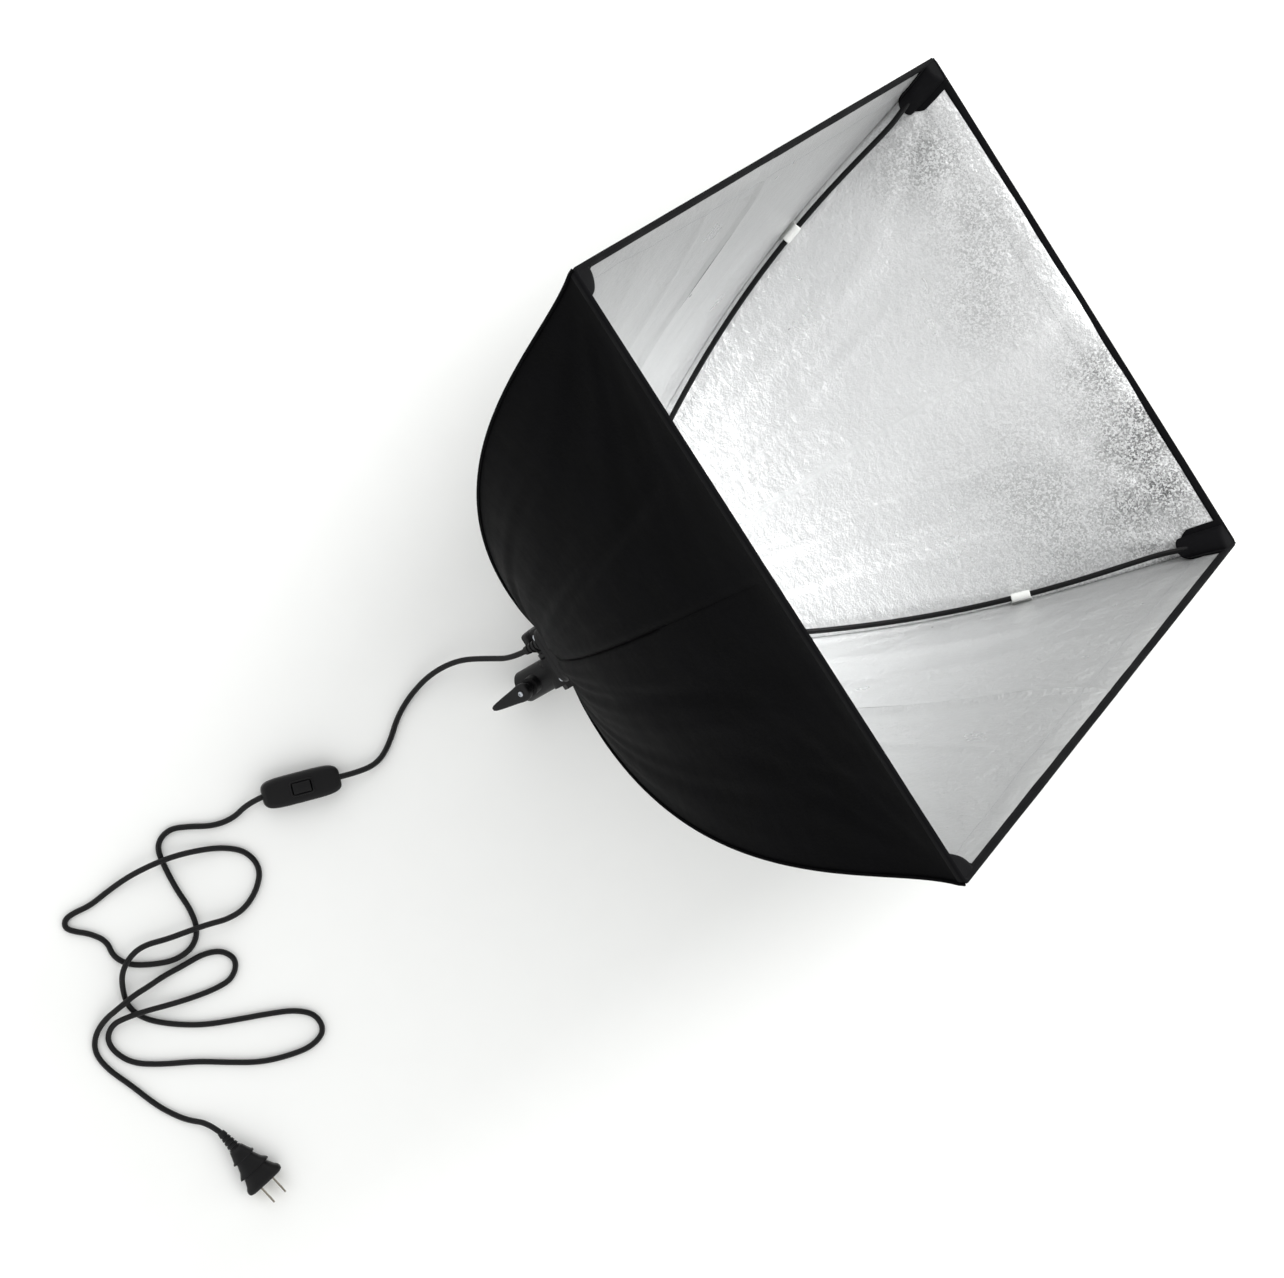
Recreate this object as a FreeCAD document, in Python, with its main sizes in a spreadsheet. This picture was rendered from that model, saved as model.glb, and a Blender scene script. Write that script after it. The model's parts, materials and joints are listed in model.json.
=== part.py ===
import FreeCAD, Part
import math
import os
import Sketcher

# Studio softbox: a 500 x 700 mm fabric reflector on four hinged ribs, with a lamp head,
# a tilting stand receiver and a mains lead with an inline switch.  The pieces are drawn in
# the box's own frame (mouth in the XY plane, Z out of the mouth), then the whole thing is
# laid on the floor on its lower panel and the end of the stand receiver.

V = FreeCAD.Vector
Rot = FreeCAD.Rotation
Place = FreeCAD.Placement

SIZES = {
    # fabric box
    "mouth_width": 500, "mouth_height": 700, "box_depth": 405, "fabric": 1.0,
    "rim_pull": 0.865, "rim_run": 76, "back_pull": 0.804, "back_run": 266,
    "neck_half": 27, "binding_wide": 6, "binding_deep": 3.7, "binding_lap": 2,
    # ribs
    "rib_dia": 5, "rib_inset": 14, "rib_tip_back": 8, "pivot_radius": 29, "fold_pin_dia": 4,
    "socket_length": 30, "socket_wide": 9, "socket_tall": 10, "keeper_length": 17,
    "keeper_wall": 1.4, "keeper_place": 0.45, "pocket_length": 40, "pocket_wall": 3.2,
    "pin_seat": 5.5,
    # hub and lamp head
    "hub_radius": 36, "hub_thick": 16, "housing_deep": 18, "housing_wall": 2.5,
    "cover_thick": 4, "cover_corner": 10, "neck_clearance": 0.7, "post_side": 7,
    "post_inset": 5.5, "post_hole": 1.3, "cover_hole": 1.7, "cover_screw_long": 13,
    "cover_head": 3, "cover_head_thick": 1.8, "holder_radius": 20, "holder_length": 60,
    "lamp_radius": 13.45, "lamp_shell_wall": 0.5, "lamp_shell_length": 26,
    "contact_radius": 3.5, "contact_thick": 3, "well_spare": 8,
    # tilt head and stand receiver
    "bracket_plate": 3, "plate_wide": 26, "plate_tall": 32, "plate_hole": 2.1,
    "plate_screw": 2, "plate_head": 3.6, "plate_screw_out": 11, "plate_screw_edge": 5,
    "bracket_ear": 4, "ear_radius": 11, "tilt_bolt_dia": 8, "bolt_hex": 7.5, "bolt_head": 5,
    "receiver_radius": 14, "receiver_reach": 42, "receiver_offset": 14.5, "spigot_bore": 16.1,
    "spigot_depth": 34, "boss_radius": 8, "boss_height": 21, "clamp_dia": 8, "clamp_back": 24,
    "knob_radius": 15, "knob_length": 22, "knob_cap": 3, "flute_radius": 4.5, "flute_count": 8,
    "lever_reach": 36, "lever_thick": 8, "lever_gap": 8, "lever_root": 6.5, "lever_waist": 6,
    "lever_waist_out": 14, "lever_tip": 1.8, "lever_floor": 2,
    # small clearances
    "soft_gap": 0.3, "run_gap": 0.05, "face_gap": 0.2,
    # mains lead
    "cord_dia": 5, "gland_length": 22, "gland_radius": 6, "switch_length": 68,
    "switch_wide": 26, "switch_tall": 18, "rocker_long": 15.4, "rocker_wide": 9.4,
    "rocker_slack": 0.7, "rocker_slack_side": 0.3, "switch_screw_in": 11,
    "switch_screw_hole": 1.3, "switch_head": 2.4, "recess_radius": 2.6, "recess_deep": 2,
    "plug_length": 40, "plug_wide": 36, "plug_tall": 18, "relief_length": 16,
    "blade_length": 17, "blade_wide": 6.3, "blade_thick": 1.5, "blade_pitch": 12.7,
    "blade_hole": 1.6, "blade_hole_in": 5,
}

doc = FreeCAD.newDocument("softbox")
sheet = doc.addObject("Spreadsheet::Sheet", "Sizes")
for row, (alias, value) in enumerate(SIZES.items(), start=1):
    sheet.set("A%d" % row, alias)
    sheet.set("B%d" % row, str(value))
    sheet.setAlias("B%d" % row, alias)
doc.recompute()


def val(alias):
    """A driving dimension as a number, read from the sheet."""
    return float(sheet.get(alias))


# ---------------------------------------------------------------- places worked out from sizes
half_x = val("mouth_width") / 2
half_y = val("mouth_height") / 2
diagonal = math.hypot(half_x, half_y)
neck_x = val("neck_half")
neck_y = neck_x * half_y / half_x
neck_z = -val("box_depth")
hub_back = neck_z + 11
hub_front = hub_back + val("hub_thick")
pivot_z = hub_back + val("hub_thick") / 2
housing_back = hub_back - val("housing_deep")
cover_back = housing_back - val("cover_thick")
plate_back = cover_back - val("bracket_plate")
tilt_z = plate_back - val("receiver_radius") - 1
mouth_end = tilt_z - val("receiver_reach")
clamp_z = tilt_z - val("clamp_back")
eye_near = -val("receiver_offset") + val("receiver_radius")
eye_far = -val("receiver_offset") - val("receiver_radius")
ear_near = eye_near + val("face_gap") + 0.3
ear_far = ear_near + val("bracket_ear")
gland_x = 14
gland_y = val("knob_radius") + val("gland_radius") + 1
CORNERS = [(1, 1), (-1, 1), (-1, -1), (1, -1)]

sub_parts = []


def keep(obj, label):
    """Name a finished sub-part and put it on the list of pieces to be written."""
    obj.Label = label
    sub_parts.append(obj)
    return obj


# ---------------------------------------------------------------- drawing helpers
def new_body(name):
    return doc.addObject("PartDesign::Body", name)


def sketch_on(body, role, shift=0.0):
    """A sketch on one of the body's own origin planes, moved along that plane's normal."""
    plane = [f for f in body.Origin.OriginFeatures if f.Role == role][0]
    sketch = body.newObject("Sketcher::SketchObject", body.Name + "_sketch")
    sketch.AttachmentSupport = [(plane, "")]
    sketch.MapMode = "FlatFace"
    sketch.AttachmentOffset = Place(V(0, 0, shift), Rot())
    return sketch


def draw_circle(sketch, cx, cy, radius):
    """A circle whose radius follows an expression of the sheet."""
    place = sketch.addGeometry(Part.Circle(V(cx, cy, 0), V(0, 0, 1), 5), False)
    index = sketch.addConstraint(Sketcher.Constraint("Radius", place, 5))
    sketch.setExpression("Constraints[%d]" % index, radius)
    sketch.addConstraint(Sketcher.Constraint("DistanceX", -1, 1, place, 3, cx))
    sketch.addConstraint(Sketcher.Constraint("DistanceY", -1, 1, place, 3, cy))


def draw_outline(sketch, points):
    """A closed outline of straight lines through the given points, each point fixed."""
    count = len(points)
    first = sketch.GeometryCount
    for i in range(count):
        start = V(points[i][0], points[i][1], 0)
        end = V(points[(i + 1) % count][0], points[(i + 1) % count][1], 0)
        sketch.addGeometry(Part.LineSegment(start, end), False)
    for i in range(count):
        follower = first + (i + 1) % count
        sketch.addConstraint(Sketcher.Constraint("Coincident", first + i, 2, follower, 1))
    for i in range(count):
        sketch.addConstraint(Sketcher.Constraint("DistanceX", -1, 1, first + i, 1, points[i][0]))
        sketch.addConstraint(Sketcher.Constraint("DistanceY", -1, 1, first + i, 1, points[i][1]))


def draw_rectangle(sketch, cx, cy, wide, tall):
    corners = [(-1, -1), (1, -1), (1, 1), (-1, 1)]
    draw_outline(sketch, [(cx + sx * wide / 2, cy + sy * tall / 2) for sx, sy in corners])


def pad(body, sketch, length, name, reverse=False):
    feature = body.newObject("PartDesign::Pad", body.Name + "_" + name)
    feature.Profile = sketch
    feature.setExpression("Length", length)
    feature.Reversed = reverse
    return feature


def pocket(body, sketch, length, name, reverse=False):
    feature = body.newObject("PartDesign::Pocket", body.Name + "_" + name)
    feature.Profile = sketch
    feature.setExpression("Length", length)
    feature.Reversed = reverse
    return feature


def cylinder(name, radius, height, base, axis=V(0, 0, 1)):
    """A Part cylinder whose radius and height follow expressions of the sheet."""
    obj = doc.addObject("Part::Cylinder", name)
    obj.setExpression("Radius", radius)
    obj.setExpression("Height", height)
    obj.Placement = Place(base, Rot(V(0, 0, 1), axis))
    return obj


def block(name, sizes, corner, turn=Rot()):
    """A Part box whose three sizes follow expressions of the sheet."""
    obj = doc.addObject("Part::Box", name)
    for side, text in zip(("Length", "Width", "Height"), sizes):
        obj.setExpression(side, text)
    obj.Placement = Place(corner, turn)
    return obj


def cut(name, base, *tools):
    """Base minus every tool, one Part cut after another."""
    result = base
    for index, tool in enumerate(tools):
        step = doc.addObject("Part::Cut", "%s_%d" % (name, index))
        step.Base = result
        step.Tool = tool
        result = step
    return result


def fuse(name, *shapes):
    joined = doc.addObject("Part::MultiFuse", name)
    joined.Shapes = list(shapes)
    return joined


def feature(name, shape):
    obj = doc.addObject("Part::Feature", name)
    obj.Shape = shape
    return obj


# ---------------------------------------------------------------- fabric box
def profile_poles(half, neck):
    """Bezier poles of the box's side, from the mouth to the neck: (distance from axis, z)."""
    return [(half, 0), (half * val("rim_pull"), -val("rim_run")),
            (half * val("back_pull"), -val("back_run")), (neck, neck_z)]


def inset_poles(poles, inset):
    """The same side moved inward, square to its own control lines."""
    moved = []
    for i, (r, z) in enumerate(poles):
        before = poles[max(i - 1, 0)]
        after = poles[min(i + 1, len(poles) - 1)]
        dr = after[0] - before[0]
        dz = after[1] - before[1]
        size = math.hypot(dr, dz)
        moved.append((r + inset * dz / size, z - inset * dr / size))
    return moved


def bezier_at(poles, t):
    weights = ((1 - t) ** 3, 3 * (1 - t) ** 2 * t, 3 * (1 - t) * t ** 2, t ** 3)
    return (sum(w * p[0] for w, p in zip(weights, poles)),
            sum(w * p[1] for w, p in zip(weights, poles)))


def side_panel(half, neck, reach):
    """One panel of fabric: a curved band drawn in the YZ plane, swept along X, mitred at the seams.

    half and neck are its distances from the axis, reach is half its width at the mouth."""
    outer = profile_poles(half, neck)
    inner = inset_poles(outer, val("fabric"))
    inner[0] = (inner[0][0], 0)
    curves = []
    for poles in (outer, inner):
        curve = Part.BezierCurve()
        curve.setPoles([V(-reach - 5, r, z) for r, z in poles])
        curves.append(curve)
    ends = [Part.LineSegment(curves[0].getPole(i), curves[1].getPole(i)).toShape() for i in (1, 4)]
    band = Part.Face(Part.Wire([curves[0].toShape(), ends[1], curves[1].toShape(), ends[0]]))
    swept = band.extrude(V(2 * reach + 10, 0, 0))
    seam = val("soft_gap") / 2
    far = half + 20
    wide = far * reach / half
    wedge = Part.makePolygon([V(0, seam * half / reach, 5), V(wide - seam, far, 5),
                              V(-wide + seam, far, 5), V(0, seam * half / reach, 5)])
    prism = Part.Face(wedge).extrude(V(0, 0, neck_z - 20))
    return swept.common(prism)


tall_panel = side_panel(half_y, neck_y, half_x)
wide_panel = side_panel(half_x, neck_x, half_y)
for label, shape, angle in (("panel_top", tall_panel, 0), ("panel_left", wide_panel, 90),
                            ("panel_bottom", tall_panel, 180), ("panel_right", wide_panel, 270)):
    turned = shape.copy()
    turned.rotate(V(0, 0, 0), V(0, 0, 1), angle)
    keep(feature(label, turned), label)


def binding():
    """Tape sewn round the mouth, just in front of the panels' edges."""
    base = val("soft_gap")
    outer_x = half_x + val("binding_lap")
    outer_y = half_y + val("binding_lap")
    inner_x = outer_x - val("binding_wide")
    inner_y = outer_y - val("binding_wide")
    outer = Part.makeBox(2 * outer_x, 2 * outer_y, val("binding_deep"), V(-outer_x, -outer_y, base))
    inner = Part.makeBox(2 * inner_x, 2 * inner_y, val("binding_deep") + 2,
                         V(-inner_x, -inner_y, base - 1))
    return outer.cut(inner)


keep(feature("edge_binding", binding()), "edge_binding")


# ---------------------------------------------------------------- ribs
seam_poles = profile_poles(diagonal, math.hypot(neck_x, neck_y))
inset = val("rib_inset")
flare = (seam_poles[0][0] - seam_poles[1][0]) / val("rim_run")
tip = (diagonal - flare * val("rib_tip_back") - inset, -val("rib_tip_back"))
rim_pole = (seam_poles[1][0] - inset, seam_poles[1][1])
back_pole = (seam_poles[2][0] - inset + 2, seam_poles[2][1] + inset - 4)
pivot = (val("pivot_radius"), pivot_z)


def unit(start, end):
    length = math.hypot(end[0] - start[0], end[1] - start[1])
    return ((end[0] - start[0]) / length, (end[1] - start[1]) / length)


def along(start, direction, distance):
    return (start[0] + direction[0] * distance, start[1] + direction[1] * distance)


rib_out = unit(pivot, back_pole)
rib_end = unit(rim_pole, tip)
rib_start = along(pivot, rib_out, 6)
straight_start = along(pivot, rib_out, val("socket_length") + 4)
straight_end = along(tip, rib_end, -val("pocket_length") - 4)
rib_curve = [straight_end, rim_pole, back_pole, straight_start]


def on_rib(point, sx, sy):
    """A point of the rib's own plane (distance from axis, z) at one corner of the box."""
    return V(sx * half_x / diagonal * point[0], sy * half_y / diagonal * point[0], point[1])


def tube(path, radius, start, direction):
    disc = Part.Wire(Part.makeCircle(radius, start, direction))
    return path.makePipeShell([disc], True, False)


def rib_shape(sx, sy):
    curve = Part.BezierCurve()
    curve.setPoles([on_rib(p, sx, sy) for p in reversed(rib_curve)])
    start = on_rib(rib_start, sx, sy)
    inner = Part.LineSegment(start, on_rib(straight_start, sx, sy)).toShape()
    outer = Part.LineSegment(on_rib(straight_end, sx, sy), on_rib(tip, sx, sy)).toShape()
    path = Part.Wire([inner, curve.toShape(), outer])
    direction = on_rib(rib_out, sx, sy)
    return tube(path, val("rib_dia") / 2, start, direction)


def sleeve(start, direction, length, outer, inner):
    """A plain tube of cloth or plastic round a straight stretch."""
    body = Part.makeCylinder(outer, length, start, direction)
    return body.cut(Part.makeCylinder(inner, length, start, direction))


def rib_socket(number, sx, sy):
    """The hinged foot that a rib is pressed into; its eye turns on the fold pin."""
    out = on_rib(rib_out, sx, sy)
    side = on_rib((1, 0), sx, sy).cross(V(0, 0, 1))
    turn = Rot(out, side, out.cross(side), "XYZ")
    eye = val("socket_tall") / 2
    corner = turn.multVec(V(0, -val("socket_wide") / 2, -eye))
    centre = on_rib(pivot, sx, sy)
    bar = block("socket_bar_%d" % number, ("Sizes.socket_length", "Sizes.socket_wide",
                                          "Sizes.socket_tall"), centre + corner, turn)
    round_end = cylinder("socket_eye_%d" % number, "Sizes.socket_tall / 2", "Sizes.socket_wide",
                         centre - side * (val("socket_wide") / 2), side)
    body = fuse("socket_body_%d" % number, bar, round_end)
    pin_hole = cylinder("socket_pin_hole_%d" % number, "Sizes.fold_pin_dia / 2 + Sizes.run_gap",
                        "Sizes.socket_wide + 2", centre - side * (val("socket_wide") / 2 + 1), side)
    rib_hole = cylinder("socket_rib_hole_%d" % number, "Sizes.rib_dia / 2", "Sizes.socket_length",
                        on_rib(rib_start, sx, sy), out)
    return cut("rib_socket_cut_%d" % number, body, pin_hole, rib_hole)


def keeper_shape(sx, sy):
    """The cloth loop that ties a rib to the seam, at a share of the way along its curve."""
    low = bezier_at(rib_curve, val("keeper_place") + 0.01)
    high = bezier_at(rib_curve, val("keeper_place") - 0.01)
    direction = on_rib(unit(low, high), sx, sy)
    start = on_rib(low, sx, sy) - direction * (val("keeper_length") / 2)
    inner = val("rib_dia") / 2 + 0.35
    return sleeve(start, direction, val("keeper_length"), inner + val("keeper_wall"), inner)


def pocket_shape(sx, sy):
    """The stitched corner cap that holds a rib's tip."""
    direction = on_rib(rib_end, sx, sy)
    start = on_rib(along(tip, rib_end, -val("pocket_length")), sx, sy)
    outer = val("rib_dia") / 2 + val("pocket_wall")
    cap = Part.makeCylinder(outer, val("pocket_length") + 3, start, direction)
    return cap.cut(Part.makeCylinder(val("rib_dia") / 2, val("pocket_length"), start, direction))


pins = []
for number, (sx, sy) in enumerate(CORNERS, start=1):
    keep(feature("rib_%d" % number, rib_shape(sx, sy)), "rib_%d" % number)
    keep(rib_socket(number, sx, sy), "rib_socket_%d" % number)
    keep(feature("rib_keeper_%d" % number, keeper_shape(sx, sy)), "rib_keeper_%d" % number)
    keep(feature("corner_pocket_%d" % number, pocket_shape(sx, sy)), "corner_pocket_%d" % number)
    side = on_rib((1, 0), sx, sy).cross(V(0, 0, 1))
    pin_length = val("socket_wide") + 2 * val("pin_seat")
    centre = on_rib(pivot, sx, sy)
    pins.append(Part.makeCylinder(val("fold_pin_dia") / 2, pin_length,
                                  centre - side * (pin_length / 2), side))
keep(feature("fold_pins", Part.makeCompound(pins)), "fold_pins")


# ---------------------------------------------------------------- hub and lamp head
def hub():
    """Round hub with a slot and a pin bore for each rib and a hole for the lamp holder."""
    body = new_body("hub_blank")
    disc = sketch_on(body, "XY_Plane", hub_back)
    draw_circle(disc, 0, 0, "Sizes.hub_radius")
    draw_circle(disc, 0, 0, "Sizes.holder_radius")
    pad(body, disc, "Sizes.hub_thick", "disc")
    doc.recompute()
    slot_near = val("pivot_radius") - val("socket_tall") / 2 - 1
    slot_far = val("hub_radius") + 5
    slot_half = val("socket_wide") / 2 + val("face_gap")
    slots = sketch_on(body, "XY_Plane", hub_back + 2)
    for sx, sy in CORNERS:
        out = on_rib((1, 0), sx, sy)
        side = out.cross(V(0, 0, 1))
        points = [out * slot_near + side * slot_half, out * slot_near - side * slot_half,
                  out * slot_far - side * slot_half, out * slot_far + side * slot_half]
        draw_outline(slots, [(p.x, p.y) for p in points])
    pocket(body, slots, "Sizes.hub_thick", "slots", True)
    doc.recompute()
    holes = []
    for i, (sx, sy) in enumerate(CORNERS):
        side = on_rib((1, 0), sx, sy).cross(V(0, 0, 1))
        start = on_rib(pivot, sx, sy) - side * (val("socket_wide") / 2 + val("pin_seat"))
        holes.append(cylinder("hub_pin_hole_%d" % i, "Sizes.fold_pin_dia / 2",
                              "Sizes.socket_wide + 2 * Sizes.pin_seat", start, side))
    return cut("hub_bored", body, *holes)


keep(hub(), "hub")

holder_body = cylinder("holder_body", "Sizes.holder_radius", "Sizes.holder_length",
                       V(0, 0, hub_back))
holder_front = hub_back + val("holder_length")
well_depth = val("lamp_shell_length") + val("well_spare")
holder_well = cylinder("holder_well", "Sizes.lamp_radius + Sizes.lamp_shell_wall",
                       "Sizes.lamp_shell_length + Sizes.well_spare",
                       V(0, 0, holder_front - well_depth))
keep(cut("holder_cut", holder_body, holder_well), "lamp_holder")

shell_base = holder_front - well_depth + val("contact_thick")
shell_outer = cylinder("shell_outer", "Sizes.lamp_radius + Sizes.lamp_shell_wall",
                       "Sizes.lamp_shell_length", V(0, 0, shell_base))
shell_inner = cylinder("shell_inner", "Sizes.lamp_radius", "Sizes.lamp_shell_length + 2",
                       V(0, 0, shell_base - 1))
keep(cut("shell_cut", shell_outer, shell_inner), "lamp_thread_shell")
keep(cylinder("contact", "Sizes.contact_radius", "Sizes.contact_thick",
              V(0, 0, holder_front - well_depth)), "lamp_contact")

# the housing fits inside the cloth's inner edge at the neck
housing_x = inset_poles(profile_poles(half_x, neck_x), val("fabric"))[3][0] - val("neck_clearance")
housing_y = inset_poles(profile_poles(half_y, neck_y), val("fabric"))[3][0] - val("neck_clearance")
screw_places = [(sx * (housing_x - val("post_inset")), sy * (housing_y - val("post_inset")))
                for sx, sy in CORNERS]


def upright_edges(block):
    """Names of a block's edges that run along Z."""
    return ["Edge%d" % (i + 1) for i, edge in enumerate(block.Shape.Edges)
            if abs(edge.tangentAt(edge.FirstParameter).z) > 0.9]


def housing():
    """Wiring box behind the hub, open at the back, with four posts for the cover's screws."""
    body = new_body("housing_shell")
    outline = sketch_on(body, "XY_Plane", housing_back)
    draw_rectangle(outline, 0, 0, 2 * housing_x, 2 * housing_y)
    block_pad = pad(body, outline, "Sizes.housing_deep", "block")
    doc.recompute()
    rounding = body.newObject("PartDesign::Fillet", "rear_housing_corners")
    rounding.Base = (block_pad, upright_edges(block_pad))
    rounding.setExpression("Radius", "Sizes.cover_corner")
    doc.recompute()
    hollow = sketch_on(body, "XY_Plane", housing_back)
    inner_x = housing_x - val("housing_wall") - val("post_side")
    inner_y = housing_y - val("housing_wall") - val("post_side")
    draw_rectangle(hollow, 0, 0, 2 * inner_x, 2 * inner_y)
    pocket(body, hollow, "Sizes.housing_deep - Sizes.housing_wall", "hollow", True)
    holes = sketch_on(body, "XY_Plane", housing_back)
    for x, y in screw_places:
        draw_circle(holes, x, y, "Sizes.post_hole")
    pocket(body, holes, "Sizes.housing_deep - Sizes.housing_wall", "screw_holes", True)
    return body


def cover():
    body = new_body("cover_plate")
    outline = sketch_on(body, "XY_Plane", cover_back)
    draw_rectangle(outline, 0, 0, 2 * housing_x, 2 * housing_y)
    plate = pad(body, outline, "Sizes.cover_thick", "plate")
    doc.recompute()
    rounding = body.newObject("PartDesign::Fillet", "rear_cover_corners")
    rounding.Base = (plate, upright_edges(plate))
    rounding.setExpression("Radius", "Sizes.cover_corner")
    doc.recompute()
    holes = sketch_on(body, "XY_Plane", cover_back)
    for x, y in screw_places:
        draw_circle(holes, x, y, "Sizes.cover_hole")
    pocket(body, holes, "Sizes.cover_thick + 1", "screw_holes", True)
    return body


keep(housing(), "rear_housing")
keep(cover(), "rear_cover")


def pan_screw(head_radius, head_thick, shank_radius, shank_length, seat, direction):
    """A pan-head screw: its head sits on seat and its shank runs along direction."""
    head = Part.makeCylinder(head_radius, head_thick, seat - direction * head_thick, direction)
    shank = Part.makeCylinder(shank_radius, shank_length, seat, direction)
    slot = Part.makeBox(head_radius * 3, 0.9, 1.0)
    slot.translate(V(-head_radius * 1.5, -0.45, 0))
    slot.Placement = Place(seat - direction * head_thick, Rot(V(0, 0, 1), direction)).multiply(
        slot.Placement)
    return head.fuse(shank).cut(slot)


cover_screws = [pan_screw(val("cover_head"), val("cover_head_thick"), val("post_hole"),
                          val("cover_screw_long"), V(x, y, cover_back), V(0, 0, 1))
                for x, y in screw_places]
keep(feature("cover_screws", Part.makeCompound(cover_screws)), "cover_screws")


# ---------------------------------------------------------------- tilt head
plate_screw_x = ear_far - val("plate_wide") + val("plate_screw_edge")


def bracket():
    """Steel angle on the cover: a plate with two screws and the ear that carries the tilt bolt."""
    plate = block("bracket_base", ("Sizes.plate_wide", "Sizes.plate_tall", "Sizes.bracket_plate"),
                  V(ear_far - val("plate_wide"), -val("plate_tall") / 2, plate_back))
    ear_length = cover_back - tilt_z
    ear = block("bracket_ear_flat", ("Sizes.bracket_ear", "2 * Sizes.ear_radius",
                                     "Sizes.bracket_plate + Sizes.receiver_radius + 1"),
                V(ear_near, -val("ear_radius"), cover_back - ear_length))
    ear_end = cylinder("bracket_ear_round", "Sizes.ear_radius", "Sizes.bracket_ear",
                       V(ear_near, 0, tilt_z), V(1, 0, 0))
    hole = cylinder("bracket_hole", "Sizes.tilt_bolt_dia / 2", "Sizes.bracket_ear + 2",
                    V(ear_near - 1, 0, tilt_z), V(1, 0, 0))
    holes = [cylinder("bracket_screw_hole_%d" % i, "Sizes.plate_hole", "Sizes.bracket_plate + 2",
                      V(plate_screw_x, side * val("plate_screw_out"), plate_back - 1))
             for i, side in enumerate((-1, 1))]
    return cut("bracket_cut", fuse("bracket_body", plate, ear, ear_end), hole, *holes)


keep(bracket(), "tilt_bracket")

bracket_screws = [pan_screw(val("plate_head"), 1.0, val("plate_screw"), val("bracket_plate"),
                            V(plate_screw_x, side * val("plate_screw_out"), plate_back),
                            V(0, 0, 1))
                  for side in (-1, 1)]
keep(feature("bracket_screws", Part.makeCompound(bracket_screws)), "bracket_screws")

bolt_start = eye_far - val("face_gap")
bolt_end = ear_far + val("face_gap") + val("knob_length") - val("knob_cap")
shank = Part.makeCylinder(val("tilt_bolt_dia") / 2, bolt_end - bolt_start,
                          V(bolt_start, 0, tilt_z), V(1, 0, 0))
hexagon = Part.makePolygon([V(bolt_start - val("bolt_head"),
                              val("bolt_hex") * math.cos(math.radians(60 * i)),
                              tilt_z + val("bolt_hex") * math.sin(math.radians(60 * i)))
                            for i in range(7)])
bolt_head = Part.Face(hexagon).extrude(V(val("bolt_head"), 0, 0))
keep(feature("tilt_bolt", bolt_head.fuse(shank)), "tilt_bolt")


def knob():
    """Lobed hand knob on the end of the tilt bolt."""
    near = ear_far + val("face_gap")
    rim = cylinder("knob_rim", "Sizes.knob_radius", "Sizes.knob_length", V(near, 0, tilt_z),
                   V(1, 0, 0))
    bore = cylinder("knob_bore", "Sizes.tilt_bolt_dia / 2 + Sizes.run_gap",
                    "Sizes.knob_length - Sizes.knob_cap + 0.5", V(near, 0, tilt_z), V(1, 0, 0))
    flutes = []
    count = int(val("flute_count"))
    for i in range(count):
        angle = math.radians(360 / count * (i + 0.5))
        place = V(near + 4, (val("knob_radius") + 3) * math.cos(angle),
                  tilt_z + (val("knob_radius") + 3) * math.sin(angle))
        flutes.append(cylinder("knob_flute_%d" % i, "Sizes.flute_radius",
                               "Sizes.knob_length", place, V(1, 0, 0)))
    return cut("knob_cut", rim, bore, *flutes)


keep(knob(), "tilt_knob")


def receiver():
    """Stand receiver: a barrel bored for a stand spigot, an eye for the tilt bolt, a screw boss."""
    middle = -val("receiver_offset")
    barrel = cylinder("receiver_barrel", "Sizes.receiver_radius", "Sizes.receiver_reach",
                      V(middle, 0, mouth_end))
    eye = cylinder("receiver_eye", "Sizes.receiver_radius", "2 * Sizes.receiver_radius",
                   V(eye_far, 0, tilt_z), V(1, 0, 0))
    boss = cylinder("receiver_boss", "Sizes.boss_radius", "Sizes.boss_height",
                    V(middle, 0, clamp_z), V(0, 1, 0))
    solid = fuse("receiver_solid", barrel, eye, boss)
    bore = cylinder("receiver_bore", "Sizes.spigot_bore / 2", "Sizes.spigot_depth",
                    V(middle, 0, mouth_end))
    bolt_hole = cylinder("receiver_bolt_hole", "Sizes.tilt_bolt_dia / 2 + Sizes.run_gap",
                         "2 * Sizes.receiver_radius + 2", V(eye_far - 1, 0, tilt_z), V(1, 0, 0))
    screw_hole = cylinder("receiver_screw_hole", "Sizes.clamp_dia / 2 + Sizes.run_gap",
                          "Sizes.boss_height + 2", V(middle, 0, clamp_z), V(0, 1, 0))
    return cut("receiver_cut", solid, bore, bolt_hole, screw_hole)


keep(receiver(), "stand_receiver")

screw_tip = val("spigot_bore") / 2 + val("soft_gap")
lever_low = val("boss_height") + val("lever_gap")
keep(cylinder("clamp_shank", "Sizes.clamp_dia / 2",
              "Sizes.boss_height + Sizes.lever_gap + Sizes.lever_thick - Sizes.lever_floor"
              " - Sizes.spigot_bore / 2 - Sizes.soft_gap",
              V(-val("receiver_offset"), screw_tip, clamp_z), V(0, 1, 0)), "clamp_screw")


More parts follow.
